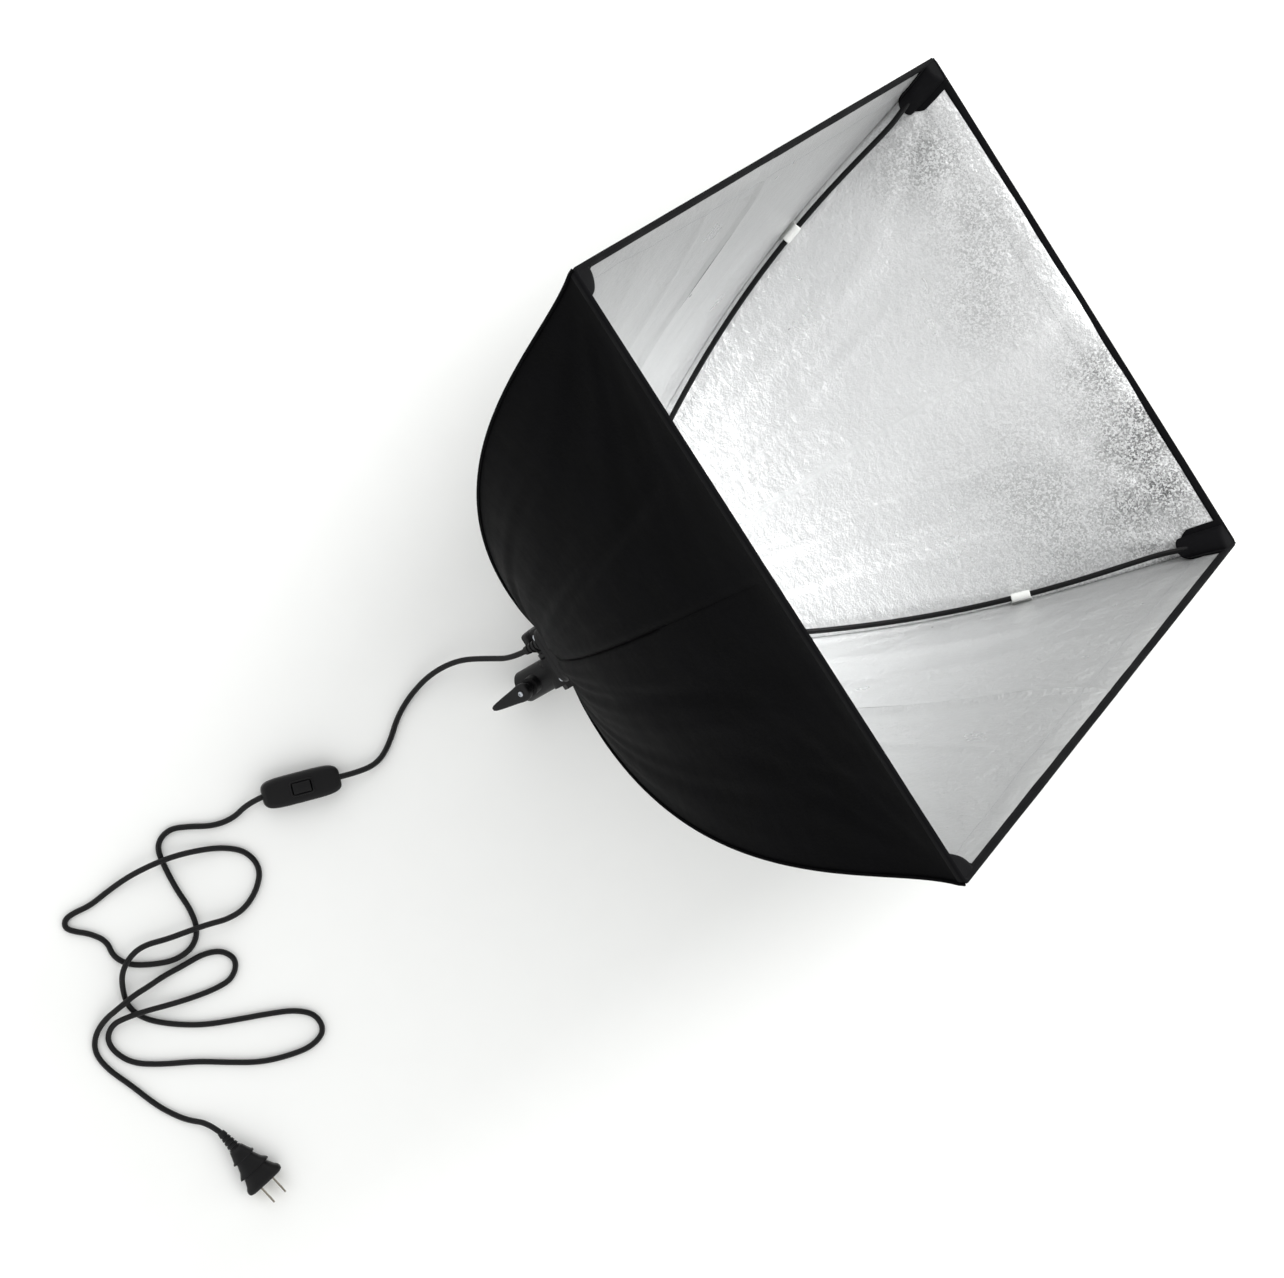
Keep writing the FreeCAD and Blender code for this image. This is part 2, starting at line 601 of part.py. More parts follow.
def lever():
    """Pointed clamp lever: a round boss on the screw and a tapering arm."""
    body = new_body("lever_arm")
    middle = -val("receiver_offset")
    arm = sketch_on(body, "XZ_Plane", -lever_low)
    tip_z = clamp_z - val("lever_reach")
    waist_z = clamp_z - val("lever_waist_out")
    half_arm = [(val("lever_root"), clamp_z), (val("lever_waist"), waist_z),
                (val("lever_tip"), tip_z)]
    draw_outline(arm, [(middle - r, z) for r, z in half_arm]
                 + [(middle + r, z) for r, z in reversed(half_arm)])
    pad(body, arm, "Sizes.lever_thick", "arm", True)
    doc.recompute()
    disc = sketch_on(body, "XZ_Plane", -lever_low)
    draw_circle(disc, middle, clamp_z, "Sizes.boss_radius")
    pad(body, disc, "Sizes.lever_thick", "boss", True)
    doc.recompute()
    hole = sketch_on(body, "XZ_Plane", -lever_low)
    draw_circle(hole, middle, clamp_z, "Sizes.clamp_dia / 2 + Sizes.run_gap")
    pocket(body, hole, "Sizes.lever_thick - Sizes.lever_floor", "hole")
    return body


keep(lever(), "clamp_lever")

gland = doc.addObject("Part::Cone", "gland_cone")
gland.setExpression("Radius1", "Sizes.gland_radius")
gland.setExpression("Radius2", "Sizes.cord_dia / 2 + 1.2")
gland.setExpression("Height", "Sizes.gland_length")
gland.Placement = Place(V(gland_x, gland_y, cover_back), Rot(V(0, 0, 1), V(0, 0, -1)))
keep(gland, "cable_gland")


# ---------------------------------------------------------------- laying it on the floor
def lowest_of_panel(lean):
    """Height of the lower panel's lowest line when the box's axis is raised by lean."""
    poles = profile_poles(half_y, neck_y)
    heights = []
    for step in range(401):
        r, z = bezier_at(poles, step / 400)
        heights.append(-r * math.cos(lean) + z * math.sin(lean))
    return min(heights)


def resting_lean():
    """Angle of the box's axis at which lower panel and receiver end touch the floor together."""
    low = math.radians(20)
    high = math.radians(70)
    for _ in range(60):
        lean = (low + high) / 2
        receiver_low = -val("receiver_radius") * math.cos(lean) + mouth_end * math.sin(lean)
        if receiver_low < lowest_of_panel(lean):
            high = lean
        else:
            low = lean
    return low


def run_back(y, z):
    """How far along the floor a point of the box's own YZ plane lies once the box is laid down."""
    return y * math.sin(lean) - z * math.cos(lean)


lean = resting_lean()
turn = Rot(V(1, 0, 0), 90 - math.degrees(lean))
lift = -lowest_of_panel(lean)
front_edge = run_back(-half_y - 2, val("soft_gap") + val("binding_deep"))
back_edge = run_back(lever_low + val("lever_thick"), clamp_z - val("lever_reach"))
shift = -(front_edge + back_edge) / 2
lay = Place(V(0, shift, lift), turn)
for obj in sub_parts:
    obj.Placement = lay.multiply(obj.Placement)

# ---------------------------------------------------------------- mains lead
# The lead lies on the floor, so these pieces are drawn straight in the laid-down frame.
# Route points are (x, y, height of the cord's middle), from the gland to the switch and from
# the switch to the plug.
LAMP_ROUTE = [
    (14, 263.6, 52.2), (14.4, 277.3, 39.5), (25, 293, 28), (37, 313, 18), (40, 337, 10),
    (35, 360, 4), (25, 382, 2.6), (9, 401, 2.6), (0.5, 418, 4.5), (3, 436.5, 8), (9, 452.8, 9),
]
MAINS_ROUTE = [
    (31, 517.2, 9), (33, 531, 7), (29, 547, 3), (33, 565, 2.6), (44, 582, 2.6), (52, 598, 2.6),
    (46, 614, 2.6), (26, 618, 2.6), (4, 620, 2.6), (-16, 619.5, 2.6), (-34, 624, 2.6),
    (-44, 636, 2.6), (-44.5, 654, 2.6), (-37, 671, 2.6), (-27, 687, 2.6), (-13, 695, 2.6),
    (1, 692, 2.6), (14, 700, 2.6), (23, 710, 2.6), (30, 715, 2.6), (36, 711, 2.6),
    (36.5, 702, 2.6), (34, 687, 2.6), (36, 669, 3), (37, 648, 7), (35, 627, 11.5),
    (31, 608, 11.5), (24, 589, 6.5), (14, 569, 2.6), (0, 553.5, 2.6), (-19, 551, 2.6),
    (-33, 564, 2.6), (-41, 582, 2.6), (-39.5, 599, 7), (-34, 613, 11.5), (-29, 632, 11.5),
    (-25, 650, 8.5), (-19, 667, 8.5), (-19, 681, 11.5), (-27, 696, 11.5), (-41, 704, 5),
    (-56, 708, 2.6), (-72, 702, 2.6), (-88, 686, 2.6), (-104, 664, 2.6), (-116, 638, 2.6),
    (-127, 613, 2.6), (-137, 593, 2.6), (-150, 580.5, 2.6), (-166, 582, 2.6), (-171, 598, 2.6),
    (-167, 617, 2.6), (-158, 641, 2.6), (-143, 663, 2.6), (-126, 686, 2.6), (-112, 711, 2.6),
    (-98, 730, 2.6), (-82, 738, 2.6), (-68, 737.5, 3), (-60, 727, 6.5), (-61, 714, 11.5),
    (-66, 696, 11.5), (-73, 678, 6), (-79.5, 658, 2.6), (-84, 638, 2.6), (-84.5, 622, 2.6),
    (-73.5, 610.5, 2.6), (-60, 616, 2.6), (-53, 631, 2.6), (-52, 651, 2.6), (-50, 669, 4),
    (-50, 684, 8), (-49, 697, 12), (-51, 715, 12), (-53, 730, 6.5), (-60, 744, 2.6),
    (-72, 752, 2.6), (-90, 750.5, 2.6), (-112, 742, 2.6), (-136, 734.5, 2.6),
    (-150, 728, 2.6), (-164, 719, 3), (-175, 706, 7), (-189, 701.5, 9),
]


def cord(name, route, diameter):
    """A tube along straight runs joined by arcs as large as the two runs beside them allow."""
    points = [V(*p) for p in route]
    starts = [points[0]]
    pieces = []
    tightest = None
    for before, corner, after in zip(points, points[1:], points[2:]):
        into = corner - before
        out = after - corner
        reach = 0.45 * min(into.Length, out.Length)
        half_turn = into.getAngle(out) / 2
        radius = reach / math.tan(half_turn)
        if tightest is None or radius < tightest:
            tightest = radius
        into.normalize()
        out.normalize()
        first = corner - into * reach
        last = corner + out * reach
        inward = out - into
        inward.normalize()
        middle = corner + inward * (radius / math.cos(half_turn) - radius)
        pieces.append(Part.LineSegment(starts[-1], first).toShape())
        pieces.append(Part.Arc(first, middle, last).toShape())
        starts.append(last)
    pieces.append(Part.LineSegment(starts[-1], points[-1]).toShape())
    path = Part.Wire(pieces)
    length = path.Length
    disc = Part.Wire(Part.makeCircle(diameter / 2, points[0], points[1] - points[0]))
    shape = path.makePipeShell([disc], True, False)
    expected = math.pi * diameter ** 2 / 4 * length
    print("%s: %.0f mm long, tightest arc %.1f mm, volume / (section x length) %.4f"
          % (name, length, tightest, shape.Volume / expected))
    return feature(name, shape)


lead_parts = []


def keep_lead(obj, label):
    """A piece of the lead: named and listed, but not leaned with the box."""
    obj.Label = label
    lead_parts.append(obj)
    return obj


keep_lead(cord("lamp_cord_tube", LAMP_ROUTE, val("cord_dia")), "cord_lamp")
keep_lead(cord("mains_cord_tube", MAINS_ROUTE, val("cord_dia")), "cord_mains")

switch_from = V(*LAMP_ROUTE[-1])
switch_to = V(*MAINS_ROUTE[0])
switch_middle = (switch_from + switch_to) * 0.5
switch_turn = math.degrees(math.atan2(switch_to.y - switch_from.y, switch_to.x - switch_from.x))
switch_place = Place(V(switch_middle.x, switch_middle.y, 0), Rot(V(0, 0, 1), switch_turn))


def round_ended(sketch, long, wide):
    """A capsule-ended outline, drawn as a rectangle with clipped corners."""
    clip = wide * 0.22
    half_long = long / 2
    half_wide = wide / 2
    draw_outline(sketch, [(-half_long + clip, -half_wide), (half_long - clip, -half_wide),
                          (half_long, -half_wide + clip), (half_long, half_wide - clip),
                          (half_long - clip, half_wide), (-half_long + clip, half_wide),
                          (-half_long, half_wide - clip), (-half_long, -half_wide + clip)])


screw_out = val("switch_length") / 2 - val("switch_screw_in")


def switch_half(name, label, low, hole_name):
    body = new_body(name)
    outline = sketch_on(body, "XY_Plane", low)
    round_ended(outline, val("switch_length"), val("switch_wide"))
    pad(body, outline, "Sizes.switch_tall / 2", "shell")
    doc.recompute()
    holes = sketch_on(body, "XY_Plane", 0)
    for side in (-1, 1):
        draw_circle(holes, side * screw_out, 0, "Sizes.switch_screw_hole")
    pocket(body, holes, "Sizes.switch_tall - 3", hole_name, True)
    return body


base = switch_half("switch_lower", "switch_base", 0, "screw_holes")
recess = sketch_on(base, "XY_Plane", 0)
for side in (-1, 1):
    draw_circle(recess, side * screw_out, 0, "Sizes.recess_radius")
pocket(base, recess, "Sizes.recess_deep", "head_recess", True)
keep_lead(base, "switch_base")

cover_half = switch_half("switch_upper", "switch_cover", val("switch_tall") / 2, "screw_holes")
window = sketch_on(cover_half, "XY_Plane", val("switch_tall"))
draw_rectangle(window, 0, 0, val("rocker_long") + 2 * val("rocker_slack"),
               val("rocker_wide") + 2 * val("rocker_slack_side"))
pocket(cover_half, window, "Sizes.switch_tall / 2 - 1.5", "window")
keep_lead(cover_half, "switch_cover")

rocker_middle = val("switch_tall") - 1.5
rocker = new_body("rocker")
shape = sketch_on(rocker, "XZ_Plane", -val("rocker_wide") / 2)
half = val("rocker_long") / 2
draw_outline(shape, [(-half, rocker_middle - 2.5), (half, rocker_middle - 2.5),
                     (half, rocker_middle + 3.2), (0, rocker_middle + 2.2),
                     (-half, rocker_middle + 3.2)])
pad(rocker, shape, "Sizes.rocker_wide", "block", False)
keep_lead(rocker, "switch_rocker")

switch_screws = [pan_screw(val("switch_head"), 1.4, val("switch_screw_hole"),
                           val("switch_tall") - 6, V(side * screw_out, 0, val("recess_deep")),
                           V(0, 0, 1)) for side in (-1, 1)]
keep_lead(feature("switch_screw_pair", Part.makeCompound(switch_screws)), "switch_screws")

for obj in lead_parts[2:]:
    obj.Placement = switch_place

plug_start = V(*MAINS_ROUTE[-1])
plug_turn = math.degrees(math.atan2(-0.15, -0.989))
plug_place = Place(V(plug_start.x, plug_start.y, 0), Rot(V(0, 0, 1), plug_turn))
plug_height = val("plug_tall") / 2

relief = doc.addObject("Part::Cone", "relief_cone")
relief.setExpression("Radius1", "Sizes.cord_dia / 2 + 1")
relief.setExpression("Radius2", "Sizes.cord_dia / 2 + 4")
relief.setExpression("Height", "Sizes.relief_length")
relief.Placement = Place(V(0, 0, plug_height), Rot(V(0, 0, 1), V(1, 0, 0)))
keep_lead(relief, "plug_relief")

plug_near = val("relief_length")
plug_far = plug_near + val("plug_length")
wide = val("plug_wide") / 2
long = val("plug_length")
plug = new_body("plug_block")
outline = sketch_on(plug, "XY_Plane", 0)
# the body widens towards the blades in three steps: shares of its length and of its half width
PLUG_STEPS = [(0, 0.4), (0.28, 0.62), (0.30, 0.5), (0.62, 0.85), (0.64, 0.72), (0.9, 1), (1, 0.94)]
upper = [(plug_near + long * along_share, wide * wide_share)
         for along_share, wide_share in PLUG_STEPS]
draw_outline(outline, upper + [(x, -y) for x, y in reversed(upper)])
pad(plug, outline, "Sizes.plug_tall", "block")
keep_lead(plug, "plug_body")

blades = []
for side in (-1, 1):
    blade = Part.makeBox(val("blade_length"), val("blade_thick"), val("blade_wide"),
                         V(plug_far, side * val("blade_pitch") / 2 - val("blade_thick") / 2,
                           plug_height - val("blade_wide") / 2))
    hole = Part.makeCylinder(val("blade_hole"), val("blade_thick") + 2,
                             V(plug_far + val("blade_length") - val("blade_hole_in"),
                               side * val("blade_pitch") / 2 - val("blade_thick") / 2 - 1,
                               plug_height), V(0, 1, 0))
    blades.append(blade.cut(hole))
keep_lead(feature("blade_pair", Part.makeCompound(blades)), "plug_blades")

for obj in lead_parts[6:]:
    obj.Placement = plug_place.multiply(obj.Placement)
sub_parts.extend(lead_parts)

# ---------------------------------------------------------------- checks and files
doc.recompute()
problems = []
for obj in doc.Objects:
    if "Invalid" in obj.State or "Error" in obj.State:
        problems.append("%s is %s" % (obj.Label, obj.State))
for obj in sub_parts:
    if obj.Shape.isNull() or not obj.Shape.isValid():
        problems.append("%s has no valid shape" % obj.Label)
if problems:
    raise RuntimeError("; ".join(problems))

os.makedirs("parts", exist_ok=True)
for obj in sub_parts:
    obj.Shape.exportStep("parts/%s.step" % obj.Label)
print("lean %.3f deg, mouth centre %.2f mm up and %.2f mm along Y" % (math.degrees(lean), lift, shift))
print("gland ends at", lay.multVec(V(gland_x, gland_y, cover_back - val("gland_length"))))
print("%d sub-parts written" % len(sub_parts))
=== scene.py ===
import json
import math

import bmesh
import bpy
import numpy
from mathutils import Matrix, Vector, noise

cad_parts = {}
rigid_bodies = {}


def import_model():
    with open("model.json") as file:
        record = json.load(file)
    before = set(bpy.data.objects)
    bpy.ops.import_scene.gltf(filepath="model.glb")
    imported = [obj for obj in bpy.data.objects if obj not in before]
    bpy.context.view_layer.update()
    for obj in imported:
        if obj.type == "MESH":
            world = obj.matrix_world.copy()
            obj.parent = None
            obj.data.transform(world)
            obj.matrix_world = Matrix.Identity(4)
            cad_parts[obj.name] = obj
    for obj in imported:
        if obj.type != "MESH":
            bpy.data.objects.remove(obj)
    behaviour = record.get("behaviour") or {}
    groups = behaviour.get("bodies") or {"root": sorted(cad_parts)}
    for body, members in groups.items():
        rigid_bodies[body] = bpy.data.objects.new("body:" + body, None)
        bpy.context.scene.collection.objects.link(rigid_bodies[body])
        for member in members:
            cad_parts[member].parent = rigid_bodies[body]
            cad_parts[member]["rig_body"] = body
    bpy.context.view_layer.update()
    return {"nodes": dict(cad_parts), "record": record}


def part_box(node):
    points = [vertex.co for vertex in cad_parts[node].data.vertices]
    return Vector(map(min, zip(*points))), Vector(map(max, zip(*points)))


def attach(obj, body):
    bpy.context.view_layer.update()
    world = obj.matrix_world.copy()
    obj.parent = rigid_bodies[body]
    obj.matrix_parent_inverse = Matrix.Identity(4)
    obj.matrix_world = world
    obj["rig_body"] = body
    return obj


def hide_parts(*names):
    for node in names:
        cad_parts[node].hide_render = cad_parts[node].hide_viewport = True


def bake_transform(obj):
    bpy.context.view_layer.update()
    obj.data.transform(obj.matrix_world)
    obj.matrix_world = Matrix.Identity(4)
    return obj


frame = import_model()

bl_info = {
    "name": "Studio softbox",
    "version": (1, 0, 0),
    "blender": (4, 5, 0),
    "location": "View3D > Sidebar > Softbox",
    "description": "Cloth, rods, lamp head and lead of a rectangular studio softbox",
    "category": "Object",
}

MM = 0.001

# ---------------------------------------------------------------- the box's own frame
# X runs across the mouth, UP along its longer side and AXIS out of it, as the box lies.
MOUNTS = {mount["name"]: mount for mount in frame["record"]["mounts"]}
AXIS = Vector(MOUNTS["lamp_socket"]["axis"])
ACROSS = Vector((1, 0, 0))
UP = Vector((0, AXIS.z, -AXIS.y))
RIM_LOW, RIM_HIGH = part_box("edge_binding")
TAPE_LAP = 2 * MM
TAPE_MIDDLE = 2.15 * MM
MOUTH = (RIM_LOW + RIM_HIGH) / 2 - AXIS * TAPE_MIDDLE
HALF_X = (RIM_HIGH.x - RIM_LOW.x) / 2 - TAPE_LAP
HALF_Y = HALF_X * 1.4
NECK_DEPTH = 405 * MM
NECK_X = 27 * MM
NECK_Y = NECK_X * HALF_Y / HALF_X
CORNERS = {1: (1, 1), 2: (-1, 1), 3: (-1, -1), 4: (1, -1)}

# The side's curve from the rim to the neck, as shares of the half width and depths.
RIM_PULL = 0.865
RIM_RUN = 76 * MM
BACK_PULL = 0.804
BACK_RUN = 266 * MM

# ---------------------------------------------------------------- the lead's route
# Heights are of the cord's middle above the floor.
LAMP_ROUTE = [
    (14, 263.6, 52.2), (14.4, 277.3, 39.5), (25, 293, 28), (37, 313, 18), (40, 337, 10),
    (35, 360, 4), (25, 382, 2.6), (9, 401, 2.6), (0.5, 418, 4.5), (3, 436.5, 8), (9, 452.8, 9),
]
MAINS_ROUTE = [
    (31, 517.2, 9), (33, 531, 7), (29, 547, 3), (33, 565, 2.6), (44, 582, 2.6), (52, 598, 2.6),
    (46, 614, 2.6), (26, 618, 2.6), (4, 620, 2.6), (-16, 619.5, 2.6), (-34, 624, 2.6),
    (-44, 636, 2.6), (-44.5, 654, 2.6), (-37, 671, 2.6), (-27, 687, 2.6), (-13, 695, 2.6),
    (1, 692, 2.6), (14, 700, 2.6), (23, 710, 2.6), (30, 715, 2.6), (36, 711, 2.6),
    (36.5, 702, 2.6), (34, 687, 2.6), (36, 669, 3), (37, 648, 7), (35, 627, 11.5),
    (31, 608, 11.5), (24, 589, 6.5), (14, 569, 2.6), (0, 553.5, 2.6), (-19, 551, 2.6),
    (-33, 564, 2.6), (-41, 582, 2.6), (-39.5, 599, 7), (-34, 613, 11.5), (-29, 632, 11.5),
    (-25, 650, 8.5), (-19, 667, 8.5), (-19, 681, 11.5), (-27, 696, 11.5), (-41, 704, 5),
    (-56, 708, 2.6), (-72, 702, 2.6), (-88, 686, 2.6), (-104, 664, 2.6), (-116, 638, 2.6),
    (-127, 613, 2.6), (-137, 593, 2.6), (-150, 580.5, 2.6), (-166, 582, 2.6), (-171, 598, 2.6),
    (-167, 617, 2.6), (-158, 641, 2.6), (-143, 663, 2.6), (-126, 686, 2.6), (-112, 711, 2.6),
    (-98, 730, 2.6), (-82, 738, 2.6), (-68, 737.5, 3), (-60, 727, 6.5), (-61, 714, 11.5),
    (-66, 696, 11.5), (-73, 678, 6), (-79.5, 658, 2.6), (-84, 638, 2.6), (-84.5, 622, 2.6),
    (-73.5, 610.5, 2.6), (-60, 616, 2.6), (-53, 631, 2.6), (-52, 651, 2.6), (-50, 669, 4),
    (-50, 684, 8), (-49, 697, 12), (-51, 715, 12), (-53, 730, 6.5), (-60, 744, 2.6),
    (-72, 752, 2.6), (-90, 750.5, 2.6), (-112, 742, 2.6), (-136, 734.5, 2.6),
    (-150, 728, 2.6), (-164, 719, 3), (-175, 706, 7), (-189, 701.5, 9),
]
CORD_DIAMETER = 5 * MM
SWITCH_FROM = Vector(LAMP_ROUTE[-1]) * MM
SWITCH_TO = Vector(MAINS_ROUTE[0]) * MM
PLUG_FROM = Vector(MAINS_ROUTE[-1]) * MM
PLUG_WAY = Vector((-0.989, -0.15, 0)).normalized()
UPRIGHT = Vector((0, 0, 1))


def colour(hex_code):
    """An sRGB hex colour as linear red, green and blue."""
    shares = [int(hex_code[i:i + 2], 16) / 255 for i in (1, 3, 5)]
    return [s / 12.92 if s <= 0.04045 else ((s + 0.055) / 1.055) ** 2.4 for s in shares]


# ---------------------------------------------------------------- what a user would change
class SoftboxCloth(bpy.types.PropertyGroup):
    """Sizes of the cloth."""

    thickness: bpy.props.FloatProperty(
        name="Cloth thickness", description="Nylon and lining together",
        default=1.0 * MM, unit="LENGTH")
    sag: bpy.props.FloatProperty(
        name="Sag", description="How far a panel's middle lies inside the line between its seams",
        default=11 * MM, unit="LENGTH")
    crease: bpy.props.FloatProperty(
        name="Crease", description="Height of the fold line left along each panel's middle",
        default=2.6 * MM, unit="LENGTH")
    fold: bpy.props.FloatProperty(
        name="Folds", description="Depth of the tension folds", default=3.2 * MM, unit="LENGTH")
    hem: bpy.props.FloatProperty(
        name="Hem", description="Width of the turned hem at the rim",
        default=25 * MM, unit="LENGTH")
    tape: bpy.props.FloatProperty(
        name="Binding tape", description="How far the tape laps over the rim",
        default=7.5 * MM, unit="LENGTH")


class SoftboxColours(bpy.types.PropertyGroup):
    """Main colours."""

    nylon: bpy.props.FloatVectorProperty(
        name="Nylon", description="Outside of the cloth", subtype="COLOR", size=3,
        default=colour("#030304"))
    lining: bpy.props.FloatVectorProperty(
        name="Lining", description="Silver inside of the cloth", subtype="COLOR", size=3,
        default=colour("#F3F4F4"))
    plastic: bpy.props.FloatVectorProperty(
        name="Mouldings", description="Hub, housing, knob and switch", subtype="COLOR", size=3,
        default=colour("#0B0B0C"))
    cord: bpy.props.FloatVectorProperty(
        name="Lead", description="Cord and plug", subtype="COLOR", size=3,
        default=colour("#0A0A0B"))
    floor: bpy.props.FloatVectorProperty(
        name="Floor", description="Paper under the softbox", subtype="COLOR", size=3,
        default=colour("#F8F9F7"))


# ---------------------------------------------------------------- materials
def new_material(name):
    """A material with its shader node, empty but for the output."""
    material = bpy.data.materials.new(name)
    material.use_nodes = True
    return material, material.node_tree.nodes["Principled BSDF"]


def add(material, kind, inputs, **settings):
    """Adds a node: settings are its own, inputs are values or another node's outputs."""
    tree = material.node_tree
    node = tree.nodes.new(kind)
    for name, value in settings.items():
        setattr(node, name, value)
    for name, value in inputs.items():
        if isinstance(value, bpy.types.NodeSocket):
            tree.links.new(value, node.inputs[name])
        else:
            node.inputs[name].default_value = value
    return node


def grain(material, place, size, detail, roughness=0.5):
    """Cloudy noise with patches of about that size."""
    return add(material, "ShaderNodeTexNoise", {
        "Vector": place, "Scale": 1 / size, "Detail": detail, "Roughness": roughness}).outputs["Fac"]


def span(material, value, start=0.0, end=1.0, low=0.0, high=1.0):
    """The value, with start to end stretched to low to high."""
    return add(material, "ShaderNodeMapRange", {
        "Value": value, "From Min": start, "From Max": end,
        "To Min": low, "To Max": high}).outputs["Result"]


def blended(material, share, first, second):
    """Colour between two others."""
    return add(material, "ShaderNodeMixRGB", {
        "Fac": share, "Color1": first, "Color2": second}).outputs["Color"]


def figured(material, operation, *values):
    """Result of one arithmetical step."""
    return add(material, "ShaderNodeMath", dict(enumerate(values)),
               operation=operation).outputs["Value"]


def bumps(material, height, strength, depth, under=None):
    """Normals bent by a height, on top of those under it."""
    inputs = {"Height": height, "Strength": strength, "Distance": depth}
    if under is not None:
        inputs["Normal"] = under
    return add(material, "ShaderNodeBump", inputs).outputs["Normal"]


def dress(material, shader, tint, rough, normal, values):
    """Links the shader's colour, roughness and normal, and sets its other values."""
    for name, output in (("Base Color", tint), ("Roughness", rough), ("Normal", normal)):
        material.node_tree.links.new(output, shader.inputs[name])
    for name, value in values.items():
        shader.inputs[name].default_value = value
    return material


def rgba(rgb, share=1.0):
    return [c * share for c in rgb] + [1.0]


def coated_nylon():
    """Woven nylon with a coated back: near black, a dull sheen, and pale rubs on its folds."""
    material, shader = new_material("coated_nylon")
    base = bpy.context.scene.softbox_colours.nylon
    uv = add(material, "ShaderNodeUVMap", {}).outputs["UV"]
    # the threads lie 0.3 mm apart; drawn at 1.1 mm so that the weave shows
    thread = 1.1 * MM
    warp, weft = [
        add(material, "ShaderNodeTexWave", {"Vector": uv, "Scale": 0.314 / thread, "Distortion": 0.4},
            wave_type="BANDS", bands_direction=way).outputs["Fac"] for way in ("X", "Y")]
    weave = figured(material, "MULTIPLY", warp, weft)
    crumple = grain(material, uv, 45 * MM, 5.0, 0.55)
    rub = span(material, crumple, 0.42, 0.72)
    tint = blended(material, rub, rgba(base, 0.8), rgba(base, 1.7))
    dull = span(material, crumple, low=0.5, high=0.7)
    soft = bumps(material, crumple, 0.5, 2.2 * MM)
    fine = bumps(material, weave, 0.35, 0.15 * MM, soft)
    return dress(material, shader, tint, dull, fine,
                 {"Sheen Weight": 0.003, "Specular IOR Level": 0.02})


# Where each panel's flat pattern starts, so that no two have the same grain.
SEEDS = {"top": 1.1, "left": 3.7, "bottom": 6.3, "right": 8.9}

# Painted dark reflections on the lower panel: place across it, way from the rim and radius in mm, and
# how dark.
PAINTED_REFLECTION_SPOTS = [
    (-60, 14, 65, 0.7), (-125, 24, 85, 1.0), (-190, 34, 90, 1.0), (-150, 120, 150, 0.4),
    (105, 40, 75, 0.6), (185, 45, 75, 0.55), (60, 70, 90, 0.35),
]


def silver_lining():
    """Aluminium-coated polyester, crushed by folding: a bright broken mirror that sparkles, with
    painted shade towards the rim and painted dark reflections near the lower panel's rim.
    """
    material, shader = new_material("silver_lining")
    base = bpy.context.scene.softbox_colours.lining
    uv = add(material, "ShaderNodeUVMap", {}).outputs["UV"]
    # the crush has facets of about 7 mm with finer ones of 1.4 mm in them
    crush = grain(material, uv, 7 * MM, 6.0, 0.66)
    facets = add(material, "ShaderNodeTexVoronoi", {"Vector": uv, "Scale": 1 / (1.4 * MM)})
    grey = add(material, "ShaderNodeRGBToBW", {"Color": facets.outputs["Color"]}).outputs["Val"]
    drift = grain(material, uv, 75 * MM, 4.0, 0.6)
    # painted shade: every panel but the lower one is greyer towards the rim, and that one a little,
    # standing in for the dimmer light the lining reflects there
    places = add(material, "ShaderNodeSeparateXYZ", {"Vector": uv})
    lower = figured(material, "COMPARE", places.outputs["X"], SEEDS["bottom"], 1.0)
    darkest = span(material, lower, low=0.68, high=0.25)
    rim = span(material, places.outputs["Y"], 0.0, 360 * MM, darkest, 0.0)
    rim_painted_shade = blended(material, rim, rgba(base), rgba(base, 0.2))
    # painted reflection: dark mottled spots near the lower panel's rim stand in for the darker
    # surroundings that the crushed lining mirrors there
    dark_reflection = None
    for across, run, radius, share in PAINTED_REFLECTION_SPOTS:
        spot = add(material, "ShaderNodeVectorMath",
                   {0: uv, 1: (SEEDS["bottom"] + across * MM, run * MM, 0)}, operation="DISTANCE")
        fall = span(material, spot.outputs["Value"], radius * MM, 0.2 * radius * MM, high=share)
        dark_reflection = fall if dark_reflection is None else figured(material, "MAXIMUM", dark_reflection, fall)
    patch = span(material, drift, 0.3, 0.6, low=0.35)
    reflection_patches = figured(material, "MULTIPLY", dark_reflection, patch)
    painted_dark_reflection = figured(material, "MULTIPLY", reflection_patches, span(material, grey, 0.72, 0.3))
    # the lining's colour with painted shade towards the rim and painted dark reflections broken up by
    # the facets
    tint = blended(material, painted_dark_reflection, rim_painted_shade, rgba(base, 0.1))
    dull = span(material, drift, low=0.22, high=0.38)
    broad = bumps(material, drift, 0.5, 7 * MM)
    coarse = bumps(material, crush, 0.6, 2.4 * MM, broad)
    fine = bumps(material, grey, 0.6, 0.7 * MM, coarse)
    return dress(material, shader, tint, dull, fine, {"Metallic": 0.62})


def surface(name, base, rough, size, depth, metallic=0.0, spread=0.25, shine=0.5, mottled=0.12):
    """A material whose bump has one grain and whose colour and gloss change in patches."""
    material, shader = new_material(name)
    place = add(material, "ShaderNodeTexCoord", {}).outputs["Object"]
    texture = grain(material, place, size, 4.0, 0.6)
    patches = grain(material, place, 30 * MM, 3.0)
    blotch = blended(material, patches, rgba(base, 1 - mottled), rgba(base, 1 + mottled))
    gloss = span(material, patches, low=rough * (1 - spread), high=min(rough * (1 + spread), 1))
    return dress(material, shader, blotch, gloss, bumps(material, texture, 0.5, depth),
                 {"Metallic": metallic, "Specular IOR Level": shine})


